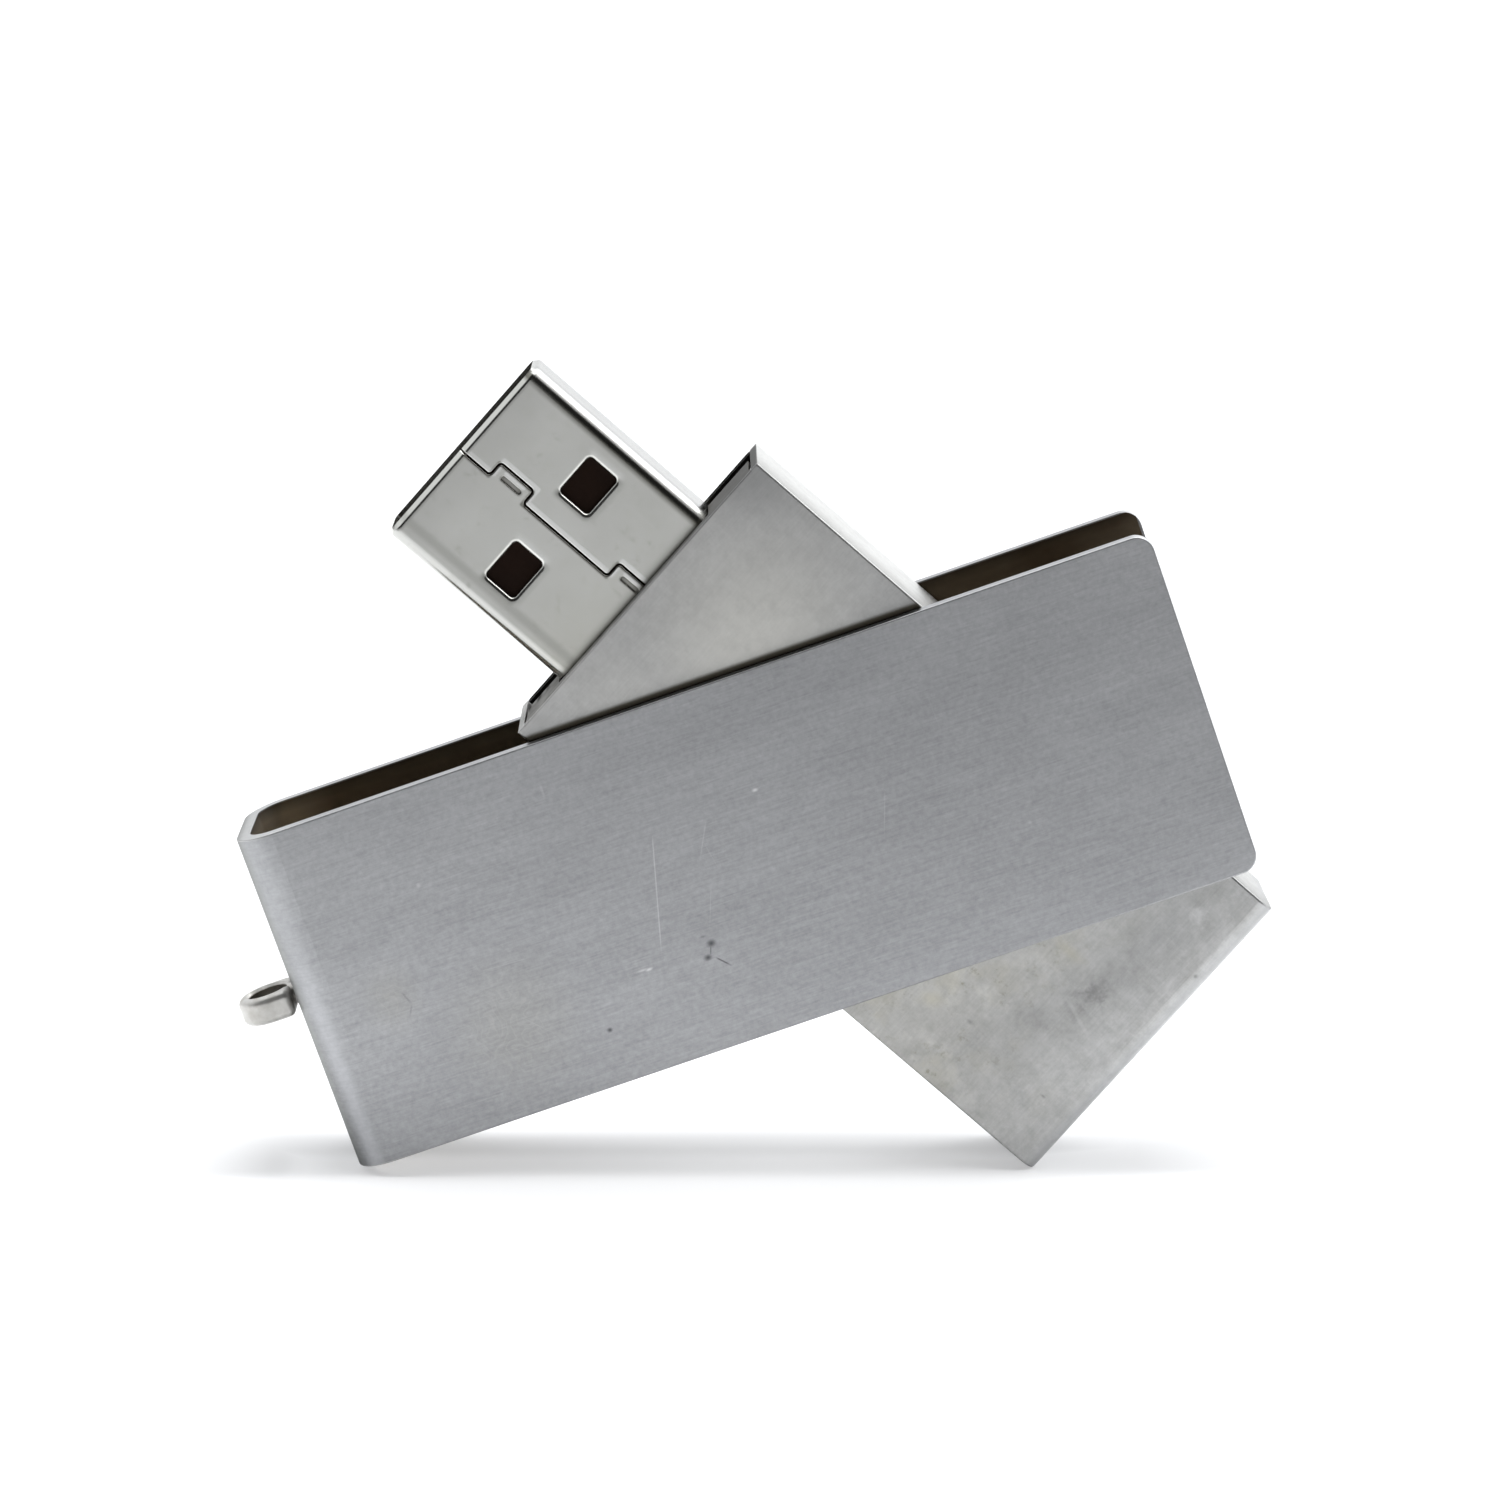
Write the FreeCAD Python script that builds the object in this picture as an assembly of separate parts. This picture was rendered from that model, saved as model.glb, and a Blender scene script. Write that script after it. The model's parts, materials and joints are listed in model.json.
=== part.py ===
import FreeCAD, Part
import math
import os

# Swivel USB flash drive, millimetres.
# Frame: +Z up, +X to the right, +Y away from the viewer.  The origin is the point where the
# swivel axis meets the outer front face of the clip.  The drive stands on two corners: the
# closed end of the clip and the rear corner of the drive body.
# Clip and drive are each built with the long axis on X (closed end and plug towards -X), then
# turned about the swivel axis.  Names ending in 0 and 1 are the low and high ends of a span.
Vector = FreeCAD.Vector

# ---- stance ----
CLIP_ANGLE = 19.2        # clip axis above the horizontal, degrees
DRIVE_ANGLE = 41.3       # drive axis below the horizontal (plug end up), degrees

# ---- clip (U-shaped steel band) ----
CLIP_SHEET = 0.8
CLIP_T = 9.0             # outside thickness
CLIP_H = 19.4            # height of the band
CLIP_CLOSED = 33.5       # swivel axis to the outside of the closed end
CLIP_OPEN = 18.36        # swivel axis to the free edges of the plates
CLIP_BEND_R = 2.2        # outside bend radius of the closed end
CLIP_CORNER_R = 1.0      # rounding of the free corners of both plates
EDGE_BREAK = 0.08
MID_Y = CLIP_T / 2       # middle plane of the clip, the body and the plug
CLIP_WALL_X = -CLIP_CLOSED + CLIP_SHEET  # inside of the closed end

# ---- swivel ----
STUD_R = 1.5
STUD_LEN = 1.4
STUD_BEVEL = 0.25
STUD_PIT_R = 0.35
STUD_PIT_DEPTH = 0.25
BUSH_BORE_R = 1.55
BUSH_BORE_BEVEL = 0.1
BUSH_BARREL_R = 2.3
BUSH_BARREL_LEN = 1.4
BUSH_FLANGE_R = 3.5
BUSH_FLANGE_T = 0.5
WASHER_T = 0.1
WASHER_R = 3.6
WASHER_BORE_R = 1.6

# ---- key eye ----
EYE_REACH = 3.55         # how far the eye stands out from the closed end
EYE_R = 1.75
EYE_HOLE_R = 1.1
EYE_Z0, EYE_Z1 = -0.88, 0.66
EYE_CORNER_R = 0.35
EYE_ROUND = 0.4
EYE_HOLE_BEVEL = 0.15
EYE_GAP = 0.44           # eye block to the wall
EYE_SHANK_R = 0.62
EYE_HOLE_IN_WALL_R = 0.67
EYE_WASHER_R = 1.75
EYE_WASHER_T = 0.25
EYE_HEAD_R = 1.35
EYE_HEAD_T = 0.5
EYE_HEAD_ROUND = 0.3

# ---- drive body ----
BODY_X0 = -17.4          # plug end
BODY_X1 = 19.9           # rear end
BODY_W = 19.5
HALF_W = BODY_W / 2
BODY_T = 7.1
BODY_SHEET = 0.5
BODY_Y0 = (CLIP_T - BODY_T) / 2          # outer face of the front plate
BODY_Y1 = BODY_Y0 + BODY_T
FLANGE_Y1 = BODY_Y0 + 0.57 * BODY_T      # free edge of the end flange
FLANGE_SLOT = 0.2        # gap between the end flange and each side wall
PLUG_CLEARANCE = 0.1     # round the plug in the end flange
REAR_BEND_R = 1.0
SIDE_EDGE_R = 0.15
END_EDGE_R = 0.06        # front edge of the plug end
COVER_GAP = 0.05
COVER_EDGE_R = 0.15
LIP_X0, LIP_X1 = -14.5, 17.5
LIP_Y0 = 5.35
LIP_T = 0.4

# ---- carrier frame and films ----
CATCH_X = (-8.5, 11.5)   # middles of the catches and of their windows in the cover lips
RAIL_Z0, RAIL_Z1 = 7.7, 8.75
CARRIER_Y0, CARRIER_Y1 = 1.7, 7.45
CARRIER_X0 = BODY_X0 + BODY_SHEET + 0.9
CARRIER_X1 = 19.2
NOSE_BAR_T = 1.2
REAR_BAR_T = 1.1
CARRIER_CLEARANCE = 0.05
FILM_X0, FILM_X1 = -15.6, 17.9
FILM_HALF_W = 7.6
FILM_T = 0.1

# ---- plug ----
PLUG_W = 12.0
PLUG_T = 4.5
PLUG_X0 = BODY_X0 - 12.2                 # mouth
PLUG_X1 = BODY_X0 + 6.2                  # end inside the body
PLUG_SHEET = 0.3
PLUG_EDGE_R = 0.72
PLUG_Z = -0.3            # side offset of the plug from the body's centre line
PLUG_Y0, PLUG_Y1 = MID_Y - PLUG_T / 2, MID_Y + PLUG_T / 2
PLUG_Z0, PLUG_Z1 = PLUG_Z - PLUG_W / 2, PLUG_Z + PLUG_W / 2
MOUTH_BEVEL = 0.27       # drawn-in bevel round the mouth
MOUTH_R = 0.2            # rounding between the bevel and the faces
WINDOW_L = 1.93
WINDOW_W = 2.46
WINDOW_X0 = PLUG_X0 + 5.43
WINDOW_Z = 3.03          # window middles, either side of the plug's centre line
WINDOW_CORNER_R = 0.22
WINDOW_EDGE_R = 0.25     # drawn-in rounding of the window edges
SEAM_W = 0.09
SEAM_TURN_R = 0.22
SEAM_JOG = 0.9
SEAM_JOG_INNER = SEAM_JOG + 0.05
# Corners of the seam: distance from the mouth, offset from the plug's centre line
SEAM_PATH = (
    (-1.0, 0.0), (2.05, 0.0), (2.05, SEAM_JOG), (4.4, SEAM_JOG), (4.4, 0.0), (10.36, 0.0),
    (10.36, SEAM_JOG_INNER), (13.4, SEAM_JOG_INNER), (13.4, 0.0), (25.0, 0.0))
SEAM_EDGE_R = 0.08       # rounded edges of the seam
# Staking marks: start and end from the mouth, offset from the plug's centre line
STAKES = ((2.62, 3.89, 0.33), (11.0, 12.15, 0.44))
STAKE_W = 0.24
STAKE_DEPTH = 0.2
STAKE_EDGE_R = 0.06
STAKE_ROOM = 0.1         # margin for picking the edges of a mark
LEG_Y0, LEG_Y1 = 3.3, 5.5
LEG_LEN = 2.8

# ---- plug insulator and contacts ----
INSULATOR_GAP = 0.02
INSULATOR_X1 = PLUG_X1 - 0.1
TONGUE_X0 = PLUG_X0 + 0.45
TONGUE_Y1 = 4.45
BLOCK_X0 = PLUG_X0 + 11.6
# Contacts: offset from the plug's centre line, distance of the tip from the mouth
CONTACTS = ((-3.5, 1.0), (-1.0, 2.0), (1.0, 2.0), (3.5, 1.0))
CONTACT_HALF_W = 0.48
CONTACT_Y0, CONTACT_Y1 = 4.35, 4.57
GROOVE_HALF_W = CONTACT_HALF_W + 0.04

# ---- circuit board ----
BOARD_T = 0.8
BOARD_Y0 = 3.85
BOARD_Y1 = BOARD_Y0 + BOARD_T
BOARD_X0 = -10.9
BOARD_X1 = 17.6
BOARD_W = 16.4
BOARD_CORNER_R = 0.8
BOARD_HOLE_R = 0.4
BOARD_HOLES = ((-6.0, 6.9), (-6.0, -6.9), (16.2, 7.0), (16.2, -7.0))  # x, z

# ---- components ----
CHIP_GAP = 0.1           # package to the board
FLASH_X0, FLASH_X1 = -3.2, 15.2
FLASH_HALF_W = 6.0
FLASH_Y1 = BOARD_Y0 - CHIP_GAP
FLASH_Y0 = FLASH_Y1 - 1.0
CONTROLLER_X = 3.0
CONTROLLER_HALF = 3.5
CONTROLLER_Y0 = BOARD_Y1 + CHIP_GAP
CONTROLLER_Y1 = CONTROLLER_Y0 + 1.4
DIMPLE_DEPTH = 0.06
LEAD_PITCH = 0.5
LEAD_W = 0.2
LEAD_T = 0.12
CRYSTAL_X = 13.5
SMD_L, SMD_W = 1.6, 0.8
SMD_EDGE_R = 0.08
CAPACITOR_H = 0.8
RESISTOR_H = 0.45
# Places: x, z, whether the long side runs along Z
CAPACITORS = (
    (-5.6, 3.6, False), (-5.6, -3.6, False), (-3.4, 6.4, False),
    (9.4, 5.6, True), (9.4, -5.6, True), (13.5, 4.6, False))
RESISTORS = (
    (-5.6, 1.6, False), (-5.6, -1.6, False), (0.0, 6.4, False),
    (3.0, 6.4, False), (0.0, -6.4, False), (13.5, -4.6, False))

PAST = 1.0               # how far a cutter runs past the material
SIDES = (-1, 1)


# ---- shapes ----
def box(x0, x1, y0, y1, z0, z1):
    return Part.makeBox(x1 - x0, y1 - y0, z1 - z0, Vector(x0, y0, z0))


def cylinder_y(radius, y0, y1, x=0.0, z=0.0):
    return Part.makeCylinder(radius, y1 - y0, Vector(x, y0, z), Vector(0, 1, 0))


def cylinder_x(radius, x0, x1):
    """A cylinder along X in the middle plane, at z = 0."""
    return Part.makeCylinder(radius, x1 - x0, Vector(x0, MID_Y, 0), Vector(1, 0, 0))


def prism(corners, push):
    """A closed polygon, pushed along a vector."""
    return Part.Face(Part.makePolygon(corners + corners[:1])).extrude(push)


def prism_x(points, x0, x1):
    return prism([Vector(x0, y, z) for y, z in points], Vector(x1 - x0, 0, 0))


def prism_y(points, y0, y1):
    return prism([Vector(x, y0, z) for x, z in points], Vector(0, y1 - y0, 0))


def prism_z(points, z0, z1):
    return prism([Vector(x, y, z0) for x, y in points], Vector(0, 0, z1 - z0))


def arc(start, middle, end):
    return Part.Arc(Vector(*start), Vector(*middle), Vector(*end)).toShape()


def line(start, end):
    return Part.makeLine(Vector(*start), Vector(*end))


def fuse(shapes):
    result = shapes[0]
    for shape in shapes[1:]:
        result = result.fuse(shape)
    return result.removeSplitter()


def mirror_y(shape):
    """The same piece on the other side of the middle plane."""
    return shape.mirror(Vector(0, MID_Y, 0), Vector(0, 1, 0))


def z_span(side, a, b, middle=0.0):
    """Low and high z of a span from a to b out from the middle, on side -1 or 1."""
    return sorted((middle + side * a, middle + side * b))


# ---- edge selection ----
def pick(shape, test):
    edges = [edge for edge in shape.Edges if test(edge)]
    if not edges:
        raise ValueError("no edge picked")
    return edges


def fillet(shape, radius, test):
    """Rounds the edges for which test(edge) is true."""
    return shape.makeFillet(radius, pick(shape, test))


def chamfer(shape, size, test):
    """Bevels the edges for which test(edge) is true."""
    return shape.makeChamfer(size, pick(shape, test))


def curve_type(edge):
    try:
        return edge.Curve.TypeId
    except TypeError:  # a degenerate edge has no curve
        return None


def along(edge, axis, **at):
    """True when a straight edge runs along the axis and passes through the coordinates."""
    if len(edge.Vertexes) != 2 or curve_type(edge) != "Part::GeomLine":
        return False
    start, end = edge.Vertexes[0].Point, edge.Vertexes[1].Point
    run = end - start
    if abs(getattr(run, axis)) < 0.999 * run.Length:
        return False
    middle = (start + end) * 0.5
    return all(abs(getattr(middle, name) - value) < 1e-4 for name, value in at.items())


def circular(edge, radius=None):
    """True for a circular edge, of the given radius if there is one."""
    return curve_type(edge) == "Part::GeomCircle" and (
        radius is None or abs(edge.Curve.Radius - radius) < 1e-6)


def centred(edge, axis, value):
    """True when the edge's centre of mass lies at this coordinate."""
    return abs(getattr(edge.CenterOfMass, axis) - value) < 1e-6


def in_plane_y(edge, y):
    return abs(edge.BoundBox.YMin - y) < 1e-4 and abs(edge.BoundBox.YMax - y) < 1e-4


# ---- clip side ----
def clip_profile(z):
    """Outline of the U: outer side from the front plate to the rear one, then back inside."""
    inner_r = CLIP_BEND_R - CLIP_SHEET
    outer_mid = CLIP_BEND_R * math.sqrt(0.5)
    inner_mid = inner_r * math.sqrt(0.5)
    end, wall = -CLIP_CLOSED, CLIP_WALL_X
    bend_x = end + CLIP_BEND_R
    bend_y0, bend_y1 = CLIP_BEND_R, CLIP_T - CLIP_BEND_R
    in_y0, in_y1 = CLIP_SHEET, CLIP_T - CLIP_SHEET
    return [
        line((CLIP_OPEN, 0, z), (bend_x, 0, z)),
        arc((bend_x, 0, z), (bend_x - outer_mid, bend_y0 - outer_mid, z), (end, bend_y0, z)),
        line((end, bend_y0, z), (end, bend_y1, z)),
        arc((end, bend_y1, z), (bend_x - outer_mid, bend_y1 + outer_mid, z),
            (bend_x, CLIP_T, z)),
        line((bend_x, CLIP_T, z), (CLIP_OPEN, CLIP_T, z)),
        line((CLIP_OPEN, CLIP_T, z), (CLIP_OPEN, in_y1, z)),
        line((CLIP_OPEN, in_y1, z), (bend_x, in_y1, z)),
        arc((bend_x, in_y1, z), (bend_x - inner_mid, bend_y1 + inner_mid, z),
            (wall, bend_y1, z)),
        line((wall, bend_y1, z), (wall, bend_y0, z)),
        arc((wall, bend_y0, z), (bend_x - inner_mid, bend_y0 - inner_mid, z),
            (bend_x, in_y0, z)),
        line((bend_x, in_y0, z), (CLIP_OPEN, in_y0, z)),
        line((CLIP_OPEN, in_y0, z), (CLIP_OPEN, 0, z)),
    ]


def outer_band_edge(edge):
    """Outer outline of the band at top and bottom, and the free ends of its outer faces."""
    bounds = edge.BoundBox
    at_rim = abs(abs(edge.CenterOfMass.z) - CLIP_H / 2) < 0.35
    on_plate = abs(bounds.YMax) < 1e-4 or abs(bounds.YMin - CLIP_T) < 1e-4
    on_closed_end = (bounds.XMax < -CLIP_CLOSED + CLIP_BEND_R + 1e-4
                     and bounds.XMin < -CLIP_CLOSED + 1e-4)
    return (at_rim and (on_plate or on_closed_end)
            or along(edge, "z", x=CLIP_OPEN, y=0.0)
            or along(edge, "z", x=CLIP_OPEN, y=CLIP_T))


def clip_band():
    band = Part.Face(Part.Wire(clip_profile(-CLIP_H / 2))).extrude(Vector(0, 0, CLIP_H))
    band = fillet(band, CLIP_CORNER_R, lambda edge: along(edge, "y", x=CLIP_OPEN))
    band = fillet(band, EDGE_BREAK, outer_band_edge)
    return band.cut(cylinder_x(EYE_HOLE_IN_WALL_R, -CLIP_CLOSED - PAST, -CLIP_CLOSED + 1.5))


def pivot_stud():
    """Stud on the inside of the front plate, with a conical pit in its tip."""
    tip_y = CLIP_SHEET + STUD_LEN
    stud = cylinder_y(STUD_R, CLIP_SHEET, tip_y)
    stud = chamfer(stud, STUD_BEVEL, lambda edge: circular(edge) and centred(edge, "y", tip_y))
    # the cone is 0.3 long, so its wide end stands just clear of the tip
    return stud.cut(Part.makeCone(0.0, STUD_PIT_R, 0.3, Vector(0, tip_y - STUD_PIT_DEPTH, 0),
                                  Vector(0, 1, 0)))


def thrust_washer():
    """Washer in the middle of the gap between the front plates of clip and body."""
    middle = (CLIP_SHEET + BODY_Y0) / 2
    return cylinder_y(WASHER_R, middle - WASHER_T / 2, middle + WASHER_T / 2).cut(
        cylinder_y(WASHER_BORE_R, middle - PAST, middle + PAST))


def eye_retaining_washer():
    """Washer under the head of the key eye, inside the closed end."""
    return cylinder_x(EYE_WASHER_R, CLIP_WALL_X, CLIP_WALL_X + EYE_WASHER_T).cut(
        cylinder_x(EYE_HOLE_IN_WALL_R, CLIP_WALL_X - PAST, CLIP_WALL_X + PAST))


def key_eye():
    """Flat D-shaped loop, shank through the wall and peened head."""
    x = -CLIP_CLOSED - EYE_REACH + EYE_R
    root_x = -CLIP_CLOSED - EYE_GAP
    y0, y1 = MID_Y - EYE_R, MID_Y + EYE_R
    z = EYE_Z0
    loop = Part.Face(Part.Wire([
        line((root_x, y0, z), (x, y0, z)),
        arc((x, y0, z), (x - EYE_R, MID_Y, z), (x, y1, z)),
        line((x, y1, z), (root_x, y1, z)),
        line((root_x, y1, z), (root_x, y0, z)),
    ])).extrude(Vector(0, 0, EYE_Z1 - EYE_Z0))
    loop = fillet(loop, EYE_CORNER_R, lambda edge: along(edge, "z", x=root_x))
    loop = fillet(loop, EYE_ROUND, lambda edge: centred(edge, "z", EYE_Z0)
                  or centred(edge, "z", EYE_Z1))
    loop = loop.cut(Part.makeCylinder(EYE_HOLE_R, 4, Vector(x, MID_Y, -2), Vector(0, 0, 1)))
    loop = chamfer(loop, EYE_HOLE_BEVEL, lambda edge: circular(edge, EYE_HOLE_R))
    head_x0 = CLIP_WALL_X + EYE_WASHER_T + 0.05
    head_x1 = head_x0 + EYE_HEAD_T
    head = cylinder_x(EYE_HEAD_R, head_x0, head_x1)
    head = fillet(head, EYE_HEAD_ROUND,
                  lambda edge: circular(edge) and centred(edge, "x", head_x1))
    shank = cylinder_x(EYE_SHANK_R, root_x - 0.2, head_x0 + 0.2)
    return fuse([loop, shank, head])


# ---- drive body ----
def body_front_shell():
    """Tray: front plate, two side walls, rear wall and the end flange round the plug."""
    def side_edge(edge):
        z = abs(edge.CenterOfMass.z)
        return ((abs(z - HALF_W) < 0.02 and edge.CenterOfMass.y < BODY_Y0 + 0.5)
                or (abs(z - HALF_W) < 1e-4 and abs(edge.BoundBox.XMin - BODY_X1) < 1e-4))

    inner_x0, inner_x1 = BODY_X0 + BODY_SHEET, BODY_X1 - BODY_SHEET
    inner_y0 = BODY_Y0 + BODY_SHEET
    inner_z = HALF_W - BODY_SHEET
    outer = box(BODY_X0, BODY_X1, BODY_Y0, BODY_Y1, -HALF_W, HALF_W)
    outer = fillet(outer, REAR_BEND_R, lambda edge: along(edge, "z", x=BODY_X1, y=BODY_Y0))
    outer = fillet(outer, SIDE_EDGE_R, side_edge)
    outer = fillet(outer, END_EDGE_R, lambda edge: along(edge, "z", x=BODY_X0, y=BODY_Y0))
    inner = box(inner_x0, inner_x1, inner_y0, BODY_Y1 + PAST, -inner_z, inner_z)
    inner = fillet(inner, REAR_BEND_R - BODY_SHEET,
                   lambda edge: along(edge, "z", x=inner_x1, y=inner_y0))
    tray = outer.cut(inner)

    # the plug end is open behind the flange, and the flange stops short of the side walls
    cut_x0, cut_x1 = BODY_X0 - PAST, inner_x0 + 0.01
    tray = tray.cut(box(cut_x0, cut_x1, FLANGE_Y1, BODY_Y1 + PAST, -inner_z, inner_z))
    for side in SIDES:
        z0, z1 = z_span(side, inner_z, inner_z - FLANGE_SLOT)
        tray = tray.cut(box(cut_x0, cut_x1, inner_y0 + 0.15, FLANGE_Y1 + PAST, z0, z1))
    tray = tray.cut(box(cut_x0, cut_x1, PLUG_Y0 - PLUG_CLEARANCE, FLANGE_Y1 + PAST,
                        PLUG_Z0 - PLUG_CLEARANCE, PLUG_Z1 + PLUG_CLEARANCE))
    return tray.cut(cylinder_y(BUSH_BARREL_R, BODY_Y0 - PAST, inner_y0 + PAST))


def body_back_cover():
    """Plate between the walls, with two inner lips that clip on the carrier."""
    edge_z = HALF_W - BODY_SHEET - COVER_GAP
    inner_y = BODY_Y1 - BODY_SHEET
    plate = box(BODY_X0, BODY_X1 - BODY_SHEET - COVER_GAP, inner_y, BODY_Y1, -edge_z, edge_z)
    plate = fillet(plate, COVER_EDGE_R, lambda edge: centred(edge, "y", BODY_Y1))
    lips = []
    for side in SIDES:
        z0, z1 = z_span(side, edge_z, edge_z - LIP_T)
        lip = box(LIP_X0, LIP_X1, LIP_Y0, inner_y + 0.05, z0, z1)
        for x in CATCH_X:
            lip = lip.cut(box(x - 1.5, x + 1.5, 5.7, 6.4, z0 - PAST, z1 + PAST))
        lips.append(lip)
    return fuse([plate] + lips).cut(
        cylinder_y(BUSH_BARREL_R, inner_y - PAST, BODY_Y1 + PAST))


def pivot_bush():
    """Flanged bush in the front plate."""
    flange_y = BODY_Y0 + BODY_SHEET
    bush = fuse([
        cylinder_y(BUSH_BARREL_R, BODY_Y0, BODY_Y0 + BUSH_BARREL_LEN),
        cylinder_y(BUSH_FLANGE_R, flange_y, flange_y + BUSH_FLANGE_T),
    ])
    bush = bush.cut(cylinder_y(BUSH_BORE_R, BODY_Y0 - PAST, BODY_Y0 + 3))
    return chamfer(bush, BUSH_BORE_BEVEL, lambda edge: circular(edge, BUSH_BORE_R))


def carrier_frame():
    """Moulded frame that holds the board and the plug, with two catches on each rail."""
    nose_x1 = CARRIER_X0 + NOSE_BAR_T
    parts = [box(CARRIER_X0, nose_x1, CARRIER_Y0, CARRIER_Y1, -RAIL_Z1, RAIL_Z1)]
    for side in SIDES:
        z0, z1 = z_span(side, RAIL_Z0, RAIL_Z1)
        parts.append(box(CARRIER_X0, CARRIER_X1, CARRIER_Y0, CARRIER_Y1, z0, z1))
        root, crest, toe = [side * (RAIL_Z1 + rise) for rise in (-0.1, 0.4, 0.1)]
        for x in CATCH_X:
            parts.append(prism_x(
                [(5.8, root), (6.3, root), (6.3, crest), (5.95, crest), (5.8, toe)],
                x - 1.3, x + 1.3))
    parts.append(box(CARRIER_X1 - REAR_BAR_T, CARRIER_X1, CARRIER_Y0, CARRIER_Y1,
                     -RAIL_Z1, RAIL_Z1))
    carrier = fuse(parts)
    gap = CARRIER_CLEARANCE
    carrier = carrier.cut(box(CARRIER_X0 - PAST, nose_x1 + PAST, PLUG_Y0 - gap, PLUG_Y1 + gap,
                              PLUG_Z0 - gap, PLUG_Z1 + gap))
    # board slots in the rails, open at the rear so that the board slides in
    return carrier.cut(box(BOARD_X0 - 0.2, 30, BOARD_Y0 - 0.03, BOARD_Y1 + 0.03,
                           -BOARD_W / 2 - gap, BOARD_W / 2 + gap))


def insulating_film():
    """Film behind the front plate, with a hole round the bush."""
    y0 = BODY_Y0 + BODY_SHEET
    return box(FILM_X0, FILM_X1, y0, y0 + FILM_T, -FILM_HALF_W, FILM_HALF_W).cut(
        cylinder_y(BUSH_FLANGE_R + 0.3, BODY_Y0, BODY_Y0 + 2))


# ---- plug ----
def slot_along(points, half, radius, y0, y1):
    """A slot of half-width half along (x, z) points with square turns of the given radius."""
    path = [Vector(x, 0, z) for x, z in points]
    runs = [(path[i + 1] - path[i]).normalize() for i in range(len(path) - 1)]
    pieces = []
    start = path[0]
    for i, run in enumerate(runs):
        last = i == len(runs) - 1
        corner = path[i + 1]
        end = corner if last else corner - run * radius
        across = Vector(-run.z, 0, run.x) * half
        outline = [start + across, end + across, end - across, start - across]
        pieces.append(prism_y([(point.x, point.z) for point in outline], y0, y1))
        if not last:
            # quarter of a ring round the turn
            turn = runs[i + 1]
            centre = corner - run * radius + turn * radius
            ring = cylinder_y(radius + half, y0, y1, centre.x, centre.z).cut(
                cylinder_y(radius - half, y0 - PAST, y1 + PAST, centre.x, centre.z))
            far = centre + (run - turn) * (radius + half + 0.05)
            x0, x1 = sorted((centre.x, far.x))
            z0, z1 = sorted((centre.z, far.z))
            pieces.append(ring.common(box(x0, x1, y0, y1, z0, z1)))
            start = corner + turn * radius
    return fuse(pieces)


def mouth_bevel_edge(edge):
    """Edges where the mouth bevel meets the outer faces."""
    bounds, x = edge.BoundBox, PLUG_X0 + MOUTH_BEVEL
    return abs(bounds.XMax - x) < 1e-4 and abs(bounds.XMin - x) < 1e-4


def window_edge(edge):
    """Outer edges of the windows on the front and rear faces."""
    return ((in_plane_y(edge, PLUG_Y0) or in_plane_y(edge, PLUG_Y1))
            and edge.BoundBox.XMin > WINDOW_X0 - 0.1
            and edge.BoundBox.XMax < WINDOW_X0 + WINDOW_L + 0.1)


def seam_or_stake_edge(edge):
    """Outer edges of the seam and of the staking marks."""
    bounds = edge.BoundBox
    return (in_plane_y(edge, PLUG_Y0)
            and bounds.ZMin > PLUG_Z - 0.25 and bounds.ZMax < PLUG_Z + SEAM_JOG + 0.3
            and bounds.XMin > PLUG_X0 + 0.2 and bounds.XMax < PLUG_X1 + 0.01
            and bounds.DiagonalLength < 12.0)


def near_stake(edge):
    return any(PLUG_X0 + start - STAKE_ROOM < edge.BoundBox.XMin
               and edge.BoundBox.XMax < PLUG_X0 + end + STAKE_ROOM
               and abs(edge.CenterOfMass.z - PLUG_Z - offset) < STAKE_W / 2 + STAKE_ROOM
               for start, end, offset in STAKES)


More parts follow.
